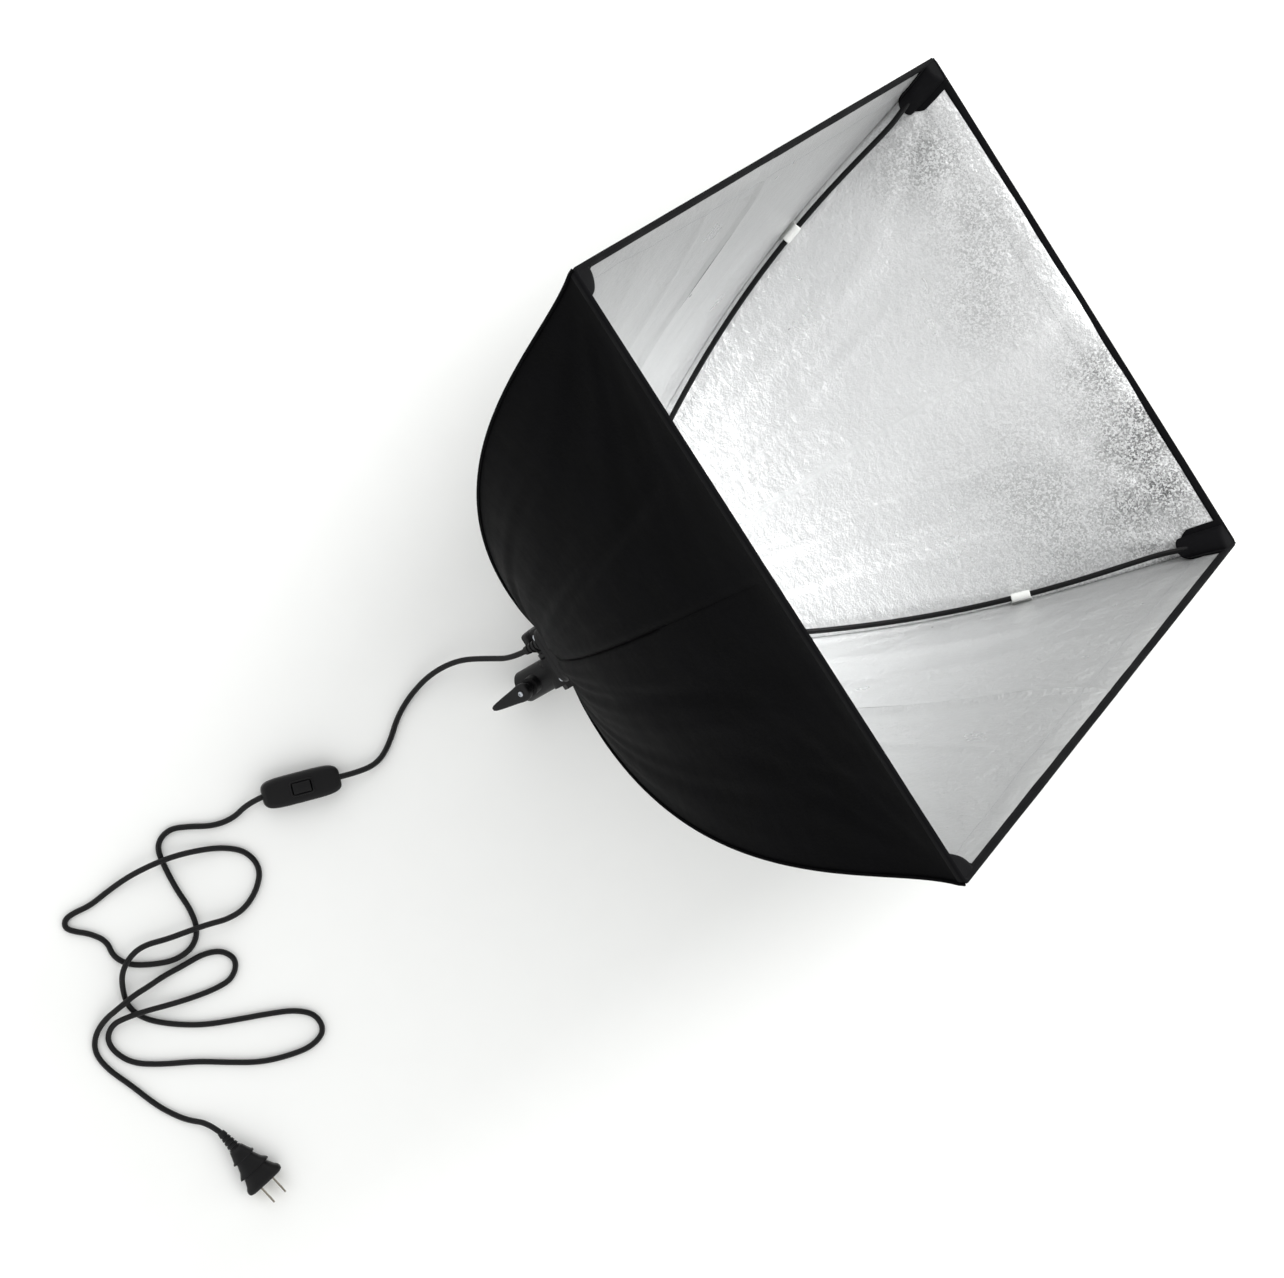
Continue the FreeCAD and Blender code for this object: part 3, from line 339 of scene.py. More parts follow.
def make_materials():
    """Every finish of the softbox, by name."""
    colours = bpy.context.scene.softbox_colours
    return {
        "nylon": coated_nylon(),
        "lining": silver_lining(),
        # ribbed polyester tape: dull black with a rib across it every millimetre
        "tape": surface("grosgrain_tape", colour("#08080A"), 0.8, 1.2 * MM, 0.25 * MM, shine=0.08),
        # bonded nylon thread, slightly shiny grey
        "thread": surface("bonded_thread", colour("#9B9DA0"), 0.5, 0.6 * MM, 0.1 * MM),
        # satin-woven white tape with a soft lustre
        "satin": surface("satin_tape", colour("#E6E7E4"), 0.42, 0.9 * MM, 0.12 * MM, mottled=0.05),
        # drawn through a die: black, glossy, with long fine streaks
        "rod": surface("pultruded_fibreglass", colour("#070708"), 0.36, 1.5 * MM, 0.05 * MM,
                       shine=0.2),
        # moulded ABS with a spark-eroded texture: an even dull black
        "abs": surface("moulded_abs", colours.plastic, 0.48, 0.7 * MM, 0.07 * MM, shine=0.22),
        # phenolic resin moulding: harder, browner and glossier than ABS
        "resin": surface("phenolic_resin", colour("#1B1918"), 0.36, 2.5 * MM, 0.04 * MM),
        # plasticised PVC: soft satin black that shows handling
        "pvc": surface("moulded_pvc", colours.cord, 0.44, 0.8 * MM, 0.05 * MM, shine=0.22),
        "lead": surface("extruded_pvc", colours.cord, 0.38, 3 * MM, 0.06 * MM, shine=0.22),
        # zinc plate on pressed steel: bluish grey with faint cloudy crystals
        "zinc": surface("zinc_plated_steel", colour("#A9ADB2"), 0.34, 2 * MM, 0.03 * MM,
                        metallic=1.0),
        # the same plating under a black passivate: dull black, hardly metallic to look at
        "black_zinc": surface("black_passivated_zinc", colour("#0D0D0E"), 0.45, 2 * MM, 0.03 * MM,
                              shine=0.3),
        "nickel": surface("nickel_plated_brass", colour("#CFC8B8"), 0.22, 1 * MM, 0.02 * MM,
                          metallic=1.0),
        "brass": surface("stamped_brass", colour("#C9A45C"), 0.3, 1 * MM, 0.03 * MM, metallic=1.0),
        # rolled aluminium, bright with fine drawn lines
        "aluminium": surface("rolled_aluminium", colour("#D2D3D4"), 0.28, 0.8 * MM, 0.04 * MM,
                             metallic=1.0),
    }


FINISH = {}


# ---------------------------------------------------------------- making meshes
def laid(x, y, z):
    """A point of the box's own frame, in metres, as it lies on the floor."""
    return MOUTH + ACROSS * x + UP * y + AXIS * z


def make_object(name, points, faces, finishes, smooth=True):
    """A new mesh object with its finishes, faces outward; the floor flattens what meets it."""
    mesh = bpy.data.meshes.new(name)
    mesh.from_pydata([(p[0], p[1], max(p[2], 0)) for p in points], [], faces)
    work = bmesh.new()
    work.from_mesh(mesh)
    bmesh.ops.recalc_face_normals(work, faces=work.faces)
    work.to_mesh(mesh)
    work.free()
    for finish in finishes:
        mesh.materials.append(FINISH[finish])
    if smooth:
        mesh.shade_smooth()
    piece = bpy.data.objects.new(name, mesh)
    bpy.context.scene.collection.objects.link(piece)
    return piece


def oval(middle, side, up, half_side, half_up, power=2.0, count=24):
    """A ring of points round an oval: power 2 is an ellipse, more is squarer."""
    ring = []
    for i in range(count):
        angle = 2 * math.pi * i / count
        c = math.cos(angle)
        s = math.sin(angle)
        a = math.copysign(abs(c) ** (2 / power), c) * half_side
        b = math.copysign(abs(s) ** (2 / power), s) * half_up
        ring.append(middle + side * a + up * b)
    return ring


def skin(name, rings, finish, angle=50, round_again=False):
    """A closed surface over rings of points: capped at both ends, or back to the first ring."""
    count = len(rings[0])
    points = [p for ring in rings for p in ring]
    faces = []
    for r in range(len(rings) if round_again else len(rings) - 1):
        s = (r + 1) % len(rings)
        for i in range(count):
            j = (i + 1) % count
            faces.append((r * count + i, r * count + j, s * count + j, s * count + i))
    if not round_again:
        faces.append(tuple(range(count)))
        faces.append(tuple(range(len(points) - count, len(points))))
    piece = make_object(name, points, faces, [finish])
    piece.data.set_sharp_from_angle(angle=math.radians(angle))
    return piece


def turned(name, start, way, profile, finish, power=2.0, count=32):
    """A lathe-turned piece: profile holds (distance along way, radius) in metres."""
    side = way.orthogonal().normalized()
    up = way.cross(side)
    rings = [oval(start + way * d, side, up, r, r, power, count) for d, r in profile]
    return skin(name, rings, finish)


def two_layers(rows, columns):
    """Faces of a sheet of two layers, row after row of points, closed all round its border."""
    wide = columns + 1
    layer_size = wide * (rows + 1)
    faces = []
    for layer in (0, 1):
        for row in range(rows):
            for column in range(columns):
                a = layer * layer_size + row * wide + column
                faces.append((a, a + 1, a + wide + 1, a + wide))
    border = list(range(wide))
    border += [row * wide + columns for row in range(1, rows + 1)]
    border += [rows * wide + i for i in range(columns - 1, -1, -1)]
    border += [row * wide for row in range(rows - 1, 0, -1)]
    for i, start in enumerate(border):
        end = border[(i + 1) % len(border)]
        faces.append((start, end, end + layer_size, start + layer_size))
    return faces


def settled(piece):
    """The piece with its modifiers applied."""
    graph = bpy.context.evaluated_depsgraph_get()
    mesh = bpy.data.meshes.new_from_object(piece.evaluated_get(graph))
    piece.modifiers.clear()
    piece.data = mesh
    return piece


def carved(piece, cutter):
    """Cuts one closed piece out of another."""
    tool = piece.modifiers.new("window", "BOOLEAN")
    tool.operation = "DIFFERENCE"
    tool.solver = "EXACT"
    tool.object = cutter
    settled(piece)
    bpy.data.objects.remove(cutter)
    return piece


def rounded_copy(node, finish, radius, steps=2):
    """The CAD piece with its edges rounded as the mould or the tumbler leaves them."""
    source = frame["nodes"][node]
    points = [tuple(v.co) for v in source.data.vertices]
    faces = [tuple(p.vertices) for p in source.data.polygons]
    mesh = bpy.data.meshes.new(node + "_finished")
    mesh.from_pydata(points, [], faces)
    work = bmesh.new()
    work.from_mesh(mesh)
    bmesh.ops.remove_doubles(work, verts=work.verts, dist=0.001 * MM)
    bmesh.ops.dissolve_limit(work, angle_limit=math.radians(1), verts=work.verts, edges=work.edges)
    work.to_mesh(mesh)
    work.free()
    mesh.materials.append(FINISH[finish])
    mesh.shade_smooth()
    piece = bpy.data.objects.new(node + "_finished", mesh)
    bpy.context.scene.collection.objects.link(piece)
    edge = piece.modifiers.new("edges", "BEVEL")
    edge.width = radius
    edge.segments = steps
    edge.limit_method = "ANGLE"
    edge.angle_limit = math.radians(40)
    edge.harden_normals = False
    settled(piece)
    piece.data.set_sharp_from_angle(angle=math.radians(35))
    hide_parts(node)
    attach(piece, source["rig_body"])
    return piece


def finished(node, finish):
    """A CAD piece that keeps its shape and gets its material."""
    data = frame["nodes"][node].data
    data.materials.clear()
    data.materials.append(FINISH[finish])
    return frame["nodes"][node]


# ---------------------------------------------------------------- the cloth's shape
def side_curve(half, neck, t):
    """Distance from the axis, depth and inward normal of a side, t from the rim to the neck."""
    poles = [(half, 0), (half * RIM_PULL, -RIM_RUN), (half * BACK_PULL, -BACK_RUN),
             (neck, -NECK_DEPTH)]
    weights = ((1 - t) ** 3, 3 * (1 - t) ** 2 * t, 3 * (1 - t) * t ** 2, t ** 3)
    r = sum(w * p[0] for w, p in zip(weights, poles))
    z = sum(w * p[1] for w, p in zip(weights, poles))
    slopes = ((1 - t) ** 2, 2 * (1 - t) * t, t ** 2)
    dr = sum(s * (poles[i + 1][0] - poles[i][0]) for i, s in enumerate(slopes))
    dz = sum(s * (poles[i + 1][1] - poles[i][1]) for i, s in enumerate(slopes))
    size = math.hypot(dr, dz)
    return r, z, dz / size, -dr / size


def eased(low, high, value):
    share = min(max((value - low) / (high - low), 0), 1)
    return share * share * (3 - 2 * share)


def ridge(distance, half_width):
    """A sharp fold line: 1 on the line, nothing beyond half_width."""
    return max(0.0, 1 - abs(distance) / half_width)


# Old fold lines of each panel besides the middle one: (place across, slope, from t, to t, share).
FOLD_LINES = {
    "top": [(0.42, -0.5, 0.1, 0.85, 0.5), (-0.35, 0.6, 0.2, 0.9, 0.4), (-0.7, 0.2, 0.0, 0.5, 0.3)],
    "left": [(0.35, -0.4, 0.1, 0.9, 0.6), (-0.4, 0.35, 0.2, 0.95, 0.5), (0.66, -0.9, 0.0, 0.5, 0.35)],
    "bottom": [(0.5, -0.6, 0.3, 0.95, 0.4), (-0.45, 0.5, 0.25, 0.9, 0.4)],
    "right": [(0.3, -0.3, 0.0, 0.8, 0.6), (-0.38, 0.4, 0.1, 0.9, 0.5), (0.62, -0.6, 0.1, 0.6, 0.3)],
}


def billow(side, signed_u, t, run, reach):
    """How far the cloth lies inside the straight line between its seams.

    signed_u goes from -1 at one seam to 1 at the other, run is the way from the rim."""
    cloth = bpy.context.scene.softbox_cloth
    u = abs(signed_u)
    seed = SEEDS[side]
    free = (1 - u ** 6) * eased(0, 12 * MM, run) * eased(1, 0.93, t)
    depth = cloth.sag * (1 - u ** 2) * math.sin(math.pi * t ** 0.85)
    across = signed_u * reach
    depth += cloth.crease * ridge(across, 6 * MM) * eased(0.97, 0.85, t) * eased(0, 40 * MM, run)
    for place, slope, low, high, share in FOLD_LINES[side]:
        offset = (signed_u - place * (1 - 0.4 * t) - slope * 0.3 * (t - 0.5)) * reach
        along = eased(low, low + 0.15, t) * eased(high, high - 0.15, t)
        depth += cloth.crease * share * ridge(offset, 11 * MM) * along * free
    fan = noise.noise(Vector((signed_u * 5.5 + seed, t * 1.3, seed)))
    fine_fan = noise.noise(Vector((signed_u * 13 + seed, t * 2.2, seed + 5)))
    depth += cloth.fold * free * (0.35 + 0.9 * t) * (fan + 0.45 * fine_fan)
    tip_run = math.hypot(run, (1 - u) * reach)
    tip_angle = math.atan2(run, (1 - u) * reach + 1e-6)
    tug = noise.noise(Vector((tip_angle * 7 + seed * math.copysign(1, signed_u), 0.4, seed)))
    depth += cloth.fold * 0.9 * free * tug * math.exp(-tip_run / 0.16) * eased(0.01, 0.05, tip_run)
    pucker = noise.noise(Vector((run / (16 * MM), seed + u, 2.0)))
    depth += 1.1 * MM * pucker * math.exp(-(1 - u) * reach / (22 * MM)) * free
    return depth


def panel_side(number, kind):
    """Name, half size, neck and reach of the panel that a half-panel at this corner belongs to."""
    sx, sy = CORNERS[number]
    if kind == "tall":
        return ("top" if sy > 0 else "bottom"), HALF_Y, NECK_Y, HALF_X
    return ("right" if sx > 0 else "left"), HALF_X, NECK_X, HALF_Y


def panel_point(number, kind, across, r, z):
    """A point of a half-panel from its distance along and from the panel's middle line."""
    sx, sy = CORNERS[number]
    if kind == "tall":
        return laid(sx * across, sy * r, z)
    return laid(sx * r, sy * across, z)


def rim_to_neck(half, neck, rows):
    """The side's curve in even steps of its own length: t, run, distance, depth and normal."""
    fine = 400
    runs = [0.0]
    before = side_curve(half, neck, 0)
    for i in range(1, fine + 1):
        here = side_curve(half, neck, i / fine)
        runs.append(runs[-1] + math.hypot(here[0] - before[0], here[1] - before[1]))
        before = here
    stations = []
    for row in range(rows + 1):
        run = runs[-1] * row / rows
        t = float(numpy.interp(run, runs, [i / fine for i in range(fine + 1)]))
        stations.append((t, run) + side_curve(half, neck, t))
    return stations


CLOTH_ROWS = 96
CLOTH_COLUMNS = 52


def half_panel(number, kind):
    """One half of a panel, from the fold line in its middle to the seam at a corner."""
    cloth = bpy.context.scene.softbox_cloth
    side, half, neck, reach = panel_side(number, kind)
    sx, sy = CORNERS[number]
    sign = sx if kind == "tall" else sy
    stations = rim_to_neck(half, neck, CLOTH_ROWS)
    points = []
    flat = []
    for layer in (0, 1):
        for t, run, r, z, inward_r, inward_z in stations:
            hem = 0.7 * MM * (1 - eased(cloth.hem - 2 * MM, cloth.hem, run))
            for column in range(CLOTH_COLUMNS + 1):
                u = column / CLOTH_COLUMNS
                depth = billow(side, sign * u, t, run, reach) + layer * (cloth.thickness + hem)
                r_here = r + depth * inward_r
                across = u * reach / half * r_here
                points.append(panel_point(number, kind, across, r_here, z + depth * inward_z))
                flat.append((sign * u * reach / half * r + SEEDS[side], run))
    name = "cloth_%s_%d" % (side, number)
    faces = two_layers(CLOTH_ROWS, CLOTH_COLUMNS)
    piece = make_object(name, points, faces, ["nylon", "lining", "thread"])
    in_layer = CLOTH_ROWS * CLOTH_COLUMNS
    for index in range(in_layer, 2 * in_layer):
        piece.data.polygons[index].material_index = 1
    layout = piece.data.uv_layers.new(name="flat")
    for loop in piece.data.loops:
        layout.data[loop.index].uv = flat[loop.vertex_index]
    piece.data.set_sharp_from_angle(angle=math.radians(60))
    add_hem_stitches(piece, points[len(points) // 2:], stations, cloth.hem)
    area = sum((stations[i + 1][1] - stations[i][1]) * (stations[i][2] + stations[i + 1][2]) / 2
               for i in range(CLOTH_ROWS)) * reach / half
    return piece, (reach, stations[-1][1]), area


def add_hem_stitches(piece, inner, stations, hem):
    """A row of lock stitches in grey thread along the turned hem, on the lining side."""
    wide = CLOTH_COLUMNS + 1
    row = min(range(len(stations)), key=lambda i: abs(stations[i][1] - hem))
    line = [inner[row * wide + c] for c in range(wide)]
    above = inner[(row + 1) * wide]
    down = (above - line[0]).normalized()
    work = bmesh.new()
    work.from_mesh(piece.data)
    for start, end in zip(line, line[1:]):
        way = end - start
        pull = down.cross(way).normalized()
        if pull.dot(MOUTH + AXIS * 0.2 - start) < 0:
            pull = -pull
        for begin, stop in ((0.06, 0.44), (0.56, 0.94)):
            head = start + way * begin
            tail = start + way * stop
            middle = (head + tail) / 2
            tips = [work.verts.new(head), work.verts.new(tail)]
            belt = [work.verts.new(middle + push * MM)
                    for push in (pull * 0.45, down * 0.4, pull * -0.2, down * -0.4)]
            for i in range(4):
                for tip in tips:
                    face = work.faces.new((belt[i], belt[(i + 1) % 4], tip))
                    face.material_index = 2
                    face.smooth = True
    bmesh.ops.recalc_face_normals(work, faces=[f for f in work.faces if f.material_index == 2])
    work.to_mesh(piece.data)
    work.free()


def bend_with_rod(piece):
    """Bakes the piece's placement into its mesh; the piece does not bend with the rod."""
    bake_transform(piece)


def bend_whole_corner(piece):
    """Bakes the placement of a piece that goes round the corner from one middle line to the other
    into its mesh; it does not bend.
    """
    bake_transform(piece)


# ---------------------------------------------------------------- operators
class SOFTBOX_OT_camera(bpy.types.Operator):
    """Camera above the box, looking nearly straight down"""

    bl_idname = "softbox.camera"
    bl_label = "Camera"

    def execute(self, context):
        data = bpy.data.cameras.new("camera")
        data.sensor_width = 36.0
        data.lens = 85.66
        camera = bpy.data.objects.new("camera", data)
        context.scene.collection.objects.link(camera)
        back = Vector((0.08746, 0.15771, 0.98361)).normalized()
        up = Vector((0.83710, -0.54689, 0.01326))
        side = up.cross(back).normalized()
        up = back.cross(side)
        turn = Matrix((side, up, back)).transposed().to_4x4()
        camera.matrix_world = Matrix.Translation((0.19642, 0.58787, 2.62565)) @ turn
        context.scene.camera = camera
        return {"FINISHED"}


def route_curve(name, route, node):
    """A round lead along its route, one smooth spline."""
    curve = bpy.data.curves.new(name, "CURVE")
    curve.dimensions = "3D"
    curve.bevel_depth = CORD_DIAMETER / 2
    curve.bevel_resolution = 4
    curve.use_fill_caps = True
    spline = curve.splines.new("NURBS")
    spline.points.add(len(route) - 1)
    for point, place in zip(spline.points, route):
        point.co = (place[0] * MM, place[1] * MM, place[2] * MM, 1)
    spline.order_u = 3
    spline.use_endpoint_u = True
    spline.resolution_u = 8
    curve.materials.append(FINISH["lead"])
    lead = bpy.data.objects.new(name, curve)
    bpy.context.scene.collection.objects.link(lead)
    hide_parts(node)
    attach(lead, "head")
    return lead


def strain_relief(name, start, way, length, wide, narrow, grooves, finish):
    """A tapered sleeve with rings moulded round it so that it bends."""
    profile = [(0, wide)]
    step = length / (grooves + 1)
    for i in range(grooves):
        base = step * (i + 0.6)
        here = wide + (narrow - wide) * (base / length)
        profile += [(base - step * 0.18, here), (base - step * 0.1, here * 0.8),
                    (base + step * 0.14, here * 0.8), (base + step * 0.22, here)]
    profile += [(length - 0.6 * MM, narrow), (length, narrow * 0.9)]
    return turned(name, start, way, profile, finish, count=24)


class SOFTBOX_OT_lead(bpy.types.Operator):
    """Lead from the lamp head to the switch and on to the plug, with what is on it"""

    bl_idname = "softbox.lead"
    bl_label = "Lead"

    def execute(self, context):
        lamp_cord = route_curve("lead_lamp", LAMP_ROUTE, "cord_lamp")
        mains_cord = route_curve("lead_mains", MAINS_ROUTE, "cord_mains")
        start = Vector(LAMP_ROUTE[0]) * MM + AXIS * 22 * MM
        gland = strain_relief("gland_sleeve", start, -AXIS, 24 * MM, 6 * MM, 3.7 * MM, 5, "pvc")
        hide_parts("cable_gland")
        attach(gland, "head")
        switch = make_switch()
        plug = make_plug()
        return {"FINISHED"}


def switch_shell(name, levels, node):
    """Half of the switch's case: levels holds (height, how far it draws in)."""
    way = SWITCH_TO - SWITCH_FROM
    way.z = 0
    way.normalize()
    side = UPRIGHT.cross(way)
    middle = (SWITCH_FROM + SWITCH_TO) / 2
    middle.z = 0
    rings = [oval(middle + UPRIGHT * height, way, side, 34 * MM - inset, 13 * MM - inset, 4.5, 72)
             for height, inset in levels]
    shell = skin(name, rings, "abs", angle=40)
    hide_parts(node)
    return shell, middle, way, side


def make_switch():
    """The inline switch: two shells, a rocker in its window and two screws."""
    lower, middle, way, side = switch_shell(
        "switch_lower_shell",
        [(0.1 * MM, 2.4 * MM), (0.5 * MM, 1.1 * MM), (1.4 * MM, 0.3 * MM), (2.6 * MM, 0),
         (8.5 * MM, 0), (8.9 * MM, 0.5 * MM)], "switch_base")
    upper, middle, way, side = switch_shell(
        "switch_upper_shell",
        [(8.95 * MM, 0.5 * MM), (9.3 * MM, 0), (15.2 * MM, 0.2 * MM), (16.8 * MM, 0.9 * MM),
         (17.6 * MM, 2.0 * MM), (17.95 * MM, 3.6 * MM)], "switch_cover")
    window = skin("window", [oval(middle + UPRIGHT * height, way, side, 8.8 * MM, 5.4 * MM, 7, 32)
                             for height in (10 * MM, 25 * MM)], "abs")
    carved(upper, window)
    upper.data.set_sharp_from_angle(angle=math.radians(40))
    frame_rings = []
    for grow, height in ((10.3, 17.6), (10.2, 18.6), (9.7, 18.9), (9.0, 18.8), (8.9, 17.4)):
        frame_rings.append(oval(middle + UPRIGHT * height * MM, way, side, grow * MM,
                                (grow - 3.4) * MM, 7, 48))
    bezel = skin("switch_bezel", frame_rings, "abs", round_again=True)
    for piece in (lower, upper, bezel):
        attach(piece, "head")
    rocker = rounded_copy("switch_rocker", "abs", 0.5 * MM, 3)
    screws = finished("switch_screws", "zinc")
    return [lower, upper, bezel, rocker, screws]


# Plug body: (way from the relief, half width, half height) in mm; the wider steps are grips.
PLUG_SECTIONS = [
    (0, 4.6, 4.4), (1.2, 6.4, 5.8), (4, 7.4, 6.4), (9.5, 9.6, 7.0), (10.8, 11.0, 7.2),
    (11.5, 10.8, 7.1), (12.0, 8.6, 6.6), (13.5, 8.9, 6.7), (20, 11.6, 7.5), (23.6, 14.6, 8.0),
    (24.8, 15.2, 8.1), (25.4, 12.4, 7.4), (27, 12.7, 7.5), (32, 15.0, 8.3), (35, 17.4, 8.7),
    (37.5, 17.9, 8.8), (39.2, 17.2, 8.4), (40, 15.6, 7.6),
]


def make_plug():
    """The two-blade plug: a ribbed relief, a stepped body and its blades."""
    side = UPRIGHT.cross(PLUG_WAY)
    start = PLUG_FROM
    relief = strain_relief("plug_sleeve", start + PLUG_WAY * 17 * MM, -PLUG_WAY, 19 * MM,
                           5.6 * MM, 3.3 * MM, 4, "pvc")
    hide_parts("plug_relief")
    near = start + PLUG_WAY * 16 * MM
    rings = [oval(near + PLUG_WAY * d * MM, side, UPRIGHT, w * MM, h * MM, 3.6, 40)
             for d, w, h in PLUG_SECTIONS]
    body = skin("plug_moulding", rings, "pvc", angle=38)
    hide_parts("plug_body")
    for piece in (relief, body):
        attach(piece, "head")
    return [relief, body, finished("plug_blades", "nickel")]


class SOFTBOX_OT_cloth(bpy.types.Operator):
    """The eight half-panels of nylon with their silver lining, and the tape round the rim"""

    bl_idname = "softbox.cloth"
    bl_label = "Cloth"

    def execute(self, context):
        for number in CORNERS:
            tape = make_binding(number)
            seam = make_seam(number)
            pocket = make_pocket(number)
            keeper = make_keeper(number)
            for kind in ("tall", "wide"):
                piece, flat, area = half_panel(number, kind)
                bend_with_rod(piece)
                if number in (1, 3):
                    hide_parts("panel_" + panel_side(number, kind)[0])
        return {"FINISHED"}


def make_binding(number):
    """Tape folded over the rim, from one panel's middle round the corner to the next one's."""
    cloth = bpy.context.scene.softbox_cloth
    sx, sy = CORNERS[number]
    bend = 5 * MM
    path = []
    steps = 44
    for i in range(steps + 1):
        path.append(((HALF_X - bend) * i / steps, HALF_Y, 0.0))
    for i in range(1, 8):
        angle = math.pi / 2 * i / 8
        path.append((HALF_X - bend + bend * math.sin(angle), HALF_Y - bend + bend * math.cos(angle),
                     angle))
    for i in range(steps + 1):
        path.append((HALF_X, (HALF_Y - bend) * (1 - i / steps), math.pi / 2))
    slopes = [side_curve(HALF_Y, NECK_Y, 0)[2:], side_curve(HALF_X, NECK_X, 0)[2:]]
    rings = []
    for index, (x, y, angle) in enumerate(path):
        share = angle / (math.pi / 2)
        inward_r = slopes[0][0] * (1 - share) + slopes[1][0] * share
        inward_z = slopes[0][1] * (1 - share) + slopes[1][1] * share
        out = ACROSS * sx * math.sin(angle) + UP * sy * math.cos(angle)
        inward = (out * inward_r + AXIS * inward_z).normalized()
        down = (-out * inward_z + AXIS * inward_r).normalized()
        middle = laid(sx * x, sy * y, 0) + inward * cloth.thickness
        swell = noise.noise(Vector((index * 0.12, number * 3.7, 0.5))) * 0.15 * MM
        rings.append(oval(middle + down * (cloth.tape / 2 - 1.6 * MM), down, inward,
                          cloth.tape / 2 + swell, 2.0 * MM + swell, 3.2, 20))
    tape = skin("rim_tape_%d" % number, rings, "tape", angle=60)
    bend_whole_corner(tape)
    if number == 1:
        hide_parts("edge_binding")
    return tape


def make_seam(number):
    """The seam's turned allowance, a narrow ridge outside each corner."""
    sx, sy = CORNERS[number]
    tall = rim_to_neck(HALF_Y, NECK_Y, 90)
    rings = []
    for t, run, r, z, inward_r, inward_z in tall:
        across = HALF_X / HALF_Y * r
        middle = laid(sx * across, sy * r, z)
        out = (ACROSS * sx * HALF_Y + UP * sy * HALF_X).normalized()
        tangent = (out * inward_z - AXIS * inward_r).normalized()
        side = tangent.cross(out).normalized()
        away = side.cross(tangent).normalized()
        swell = noise.noise(Vector((run / (14 * MM), number, 7.0))) * 0.3 * MM
        fade = eased(0, 0.02, t) * eased(1, 0.96, t)
        rings.append(oval(middle + away * (0.2 * MM + fade * 0.5 * MM), side, away,
                          1.5 * MM + swell * fade, 0.9 * MM + fade * 0.4 * MM, 2.4, 10))
    seam = skin("corner_seam_%d" % number, rings, "nylon", angle=60)
    layout = seam.data.uv_layers.new(name="flat")
    for loop in seam.data.loops:
        place = seam.data.vertices[loop.vertex_index].co
        layout.data[loop.index].uv = (place.x + place.y, place.z)
    bend_with_rod(seam)
    return seam


POCKET_WIDE = 18 * MM
POCKET_LONG = 35 * MM
POCKET_LIP = 6 * MM
SHARES = [i / 400 for i in range(401)]
DEPTHS = [-side_curve(HALF_X, NECK_X, share)[1] for share in SHARES]


def pocket_station(k, wide):
    """How far inside the two panels the patch lies, k of the way between its sewn edges."""
    if k < 0.15:
        return 0.0, wide + POCKET_LIP * (1 - k / 0.15)
    if k > 0.85:
        return wide + POCKET_LIP * (1 - (1 - k) / 0.15), 0.0
    share = (k - 0.15) / 0.7
    bulge = 1 + 0.4 * math.sin(math.pi * share)
    return wide * share * bulge, wide * (1 - share) * bulge


def make_pocket(number):
    """Cap sewn into the corner inside the rim: the rod's tip is tucked behind it."""
    cloth = bpy.context.scene.softbox_cloth
    sx, sy = CORNERS[number]
    rows = 24
    columns = 40
    points = []
    for layer in (0, 1):
        for row in range(rows + 1):
            b = row / rows
            for column in range(columns + 1):
                k = column / columns
                rounding = 1 - 0.3 * abs(2 * k - 1) ** 3
                depth = POCKET_LONG * (1 - min(b / 0.8, 1)) * rounding - 1.5 * MM * eased(0.6, 1, b)
                t = float(numpy.interp(depth, DEPTHS, SHARES))
                lift = cloth.thickness + 1.0 * MM + 1.5 * MM * layer
                wave = noise.noise(Vector((k * 3, b * 4, number * 2.0))) * 0.3 * MM
                in_x, in_y = pocket_station(k, POCKET_WIDE * (0.84 + 0.16 * b))
                over = 1 - eased(0.78, 1, b)
                x = side_curve(HALF_X, NECK_X, t)[0] - (in_x + lift) * over - wave
                y = side_curve(HALF_Y, NECK_Y, t)[0] - (in_y + lift) * over - wave
                points.append(laid(sx * x, sy * y, -depth))
    pocket = make_object("rod_pocket_%d" % number, points, two_layers(rows, columns), ["tape"])
    pocket.data.set_sharp_from_angle(angle=math.radians(60))
    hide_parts("corner_pocket_%d" % number)
    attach(pocket, "rib_arm_%d" % number)
    return pocket


def middle_and_way(node):
    """Middle and long direction of a CAD piece, from its points."""
    places = numpy.array([tuple(v.co) for v in frame["nodes"][node].data.vertices])
    low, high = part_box(node)
    way = numpy.linalg.svd(places - places.mean(axis=0), full_matrices=False)[2][0]
    return (low + high) / 2, Vector(way)


def make_keeper(number):
    """A white loop round the rod, with its two ends sewn into the seam."""
    sx, sy = CORNERS[number]
    middle, way = middle_and_way("rib_keeper_%d" % number)
    out = (ACROSS * sx * HALF_X + UP * sy * HALF_Y).normalized()
    out = (out - way * out.dot(way)).normalized()
    side = way.cross(out).normalized()
    loop_radius = 3.3 * MM
    tape = 0.9 * MM
    half_long = 8.5 * MM
    tail = 10.5 * MM
    outline = [(tail, 1.2 * MM)]
    for i in range(19):
        angle = math.radians(38 + (322 - 38) * i / 18)
        outline.append((loop_radius * math.cos(angle), loop_radius * math.sin(angle)))
    outline.append((tail, -1.2 * MM))
    rings = []
    for index, (a, b) in enumerate(outline):
        before = outline[max(index - 1, 0)]
        after = outline[min(index + 1, len(outline) - 1)]
        da = after[0] - before[0]
        db = after[1] - before[1]
        size = math.hypot(da, db)
        outward = (out * (db / size) - side * (da / size))
        place = middle + out * a + side * b
        flare = 1 + 0.18 * eased(loop_radius, tail, a)
        rings.append(oval(place, way, outward, half_long * flare, tape / 2, 6, 16))
    keeper = skin("rod_loop_%d" % number, rings, "satin", angle=50)
    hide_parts("rib_keeper_%d" % number)
    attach(keeper, "rib_arm_%d" % number)
    return keeper


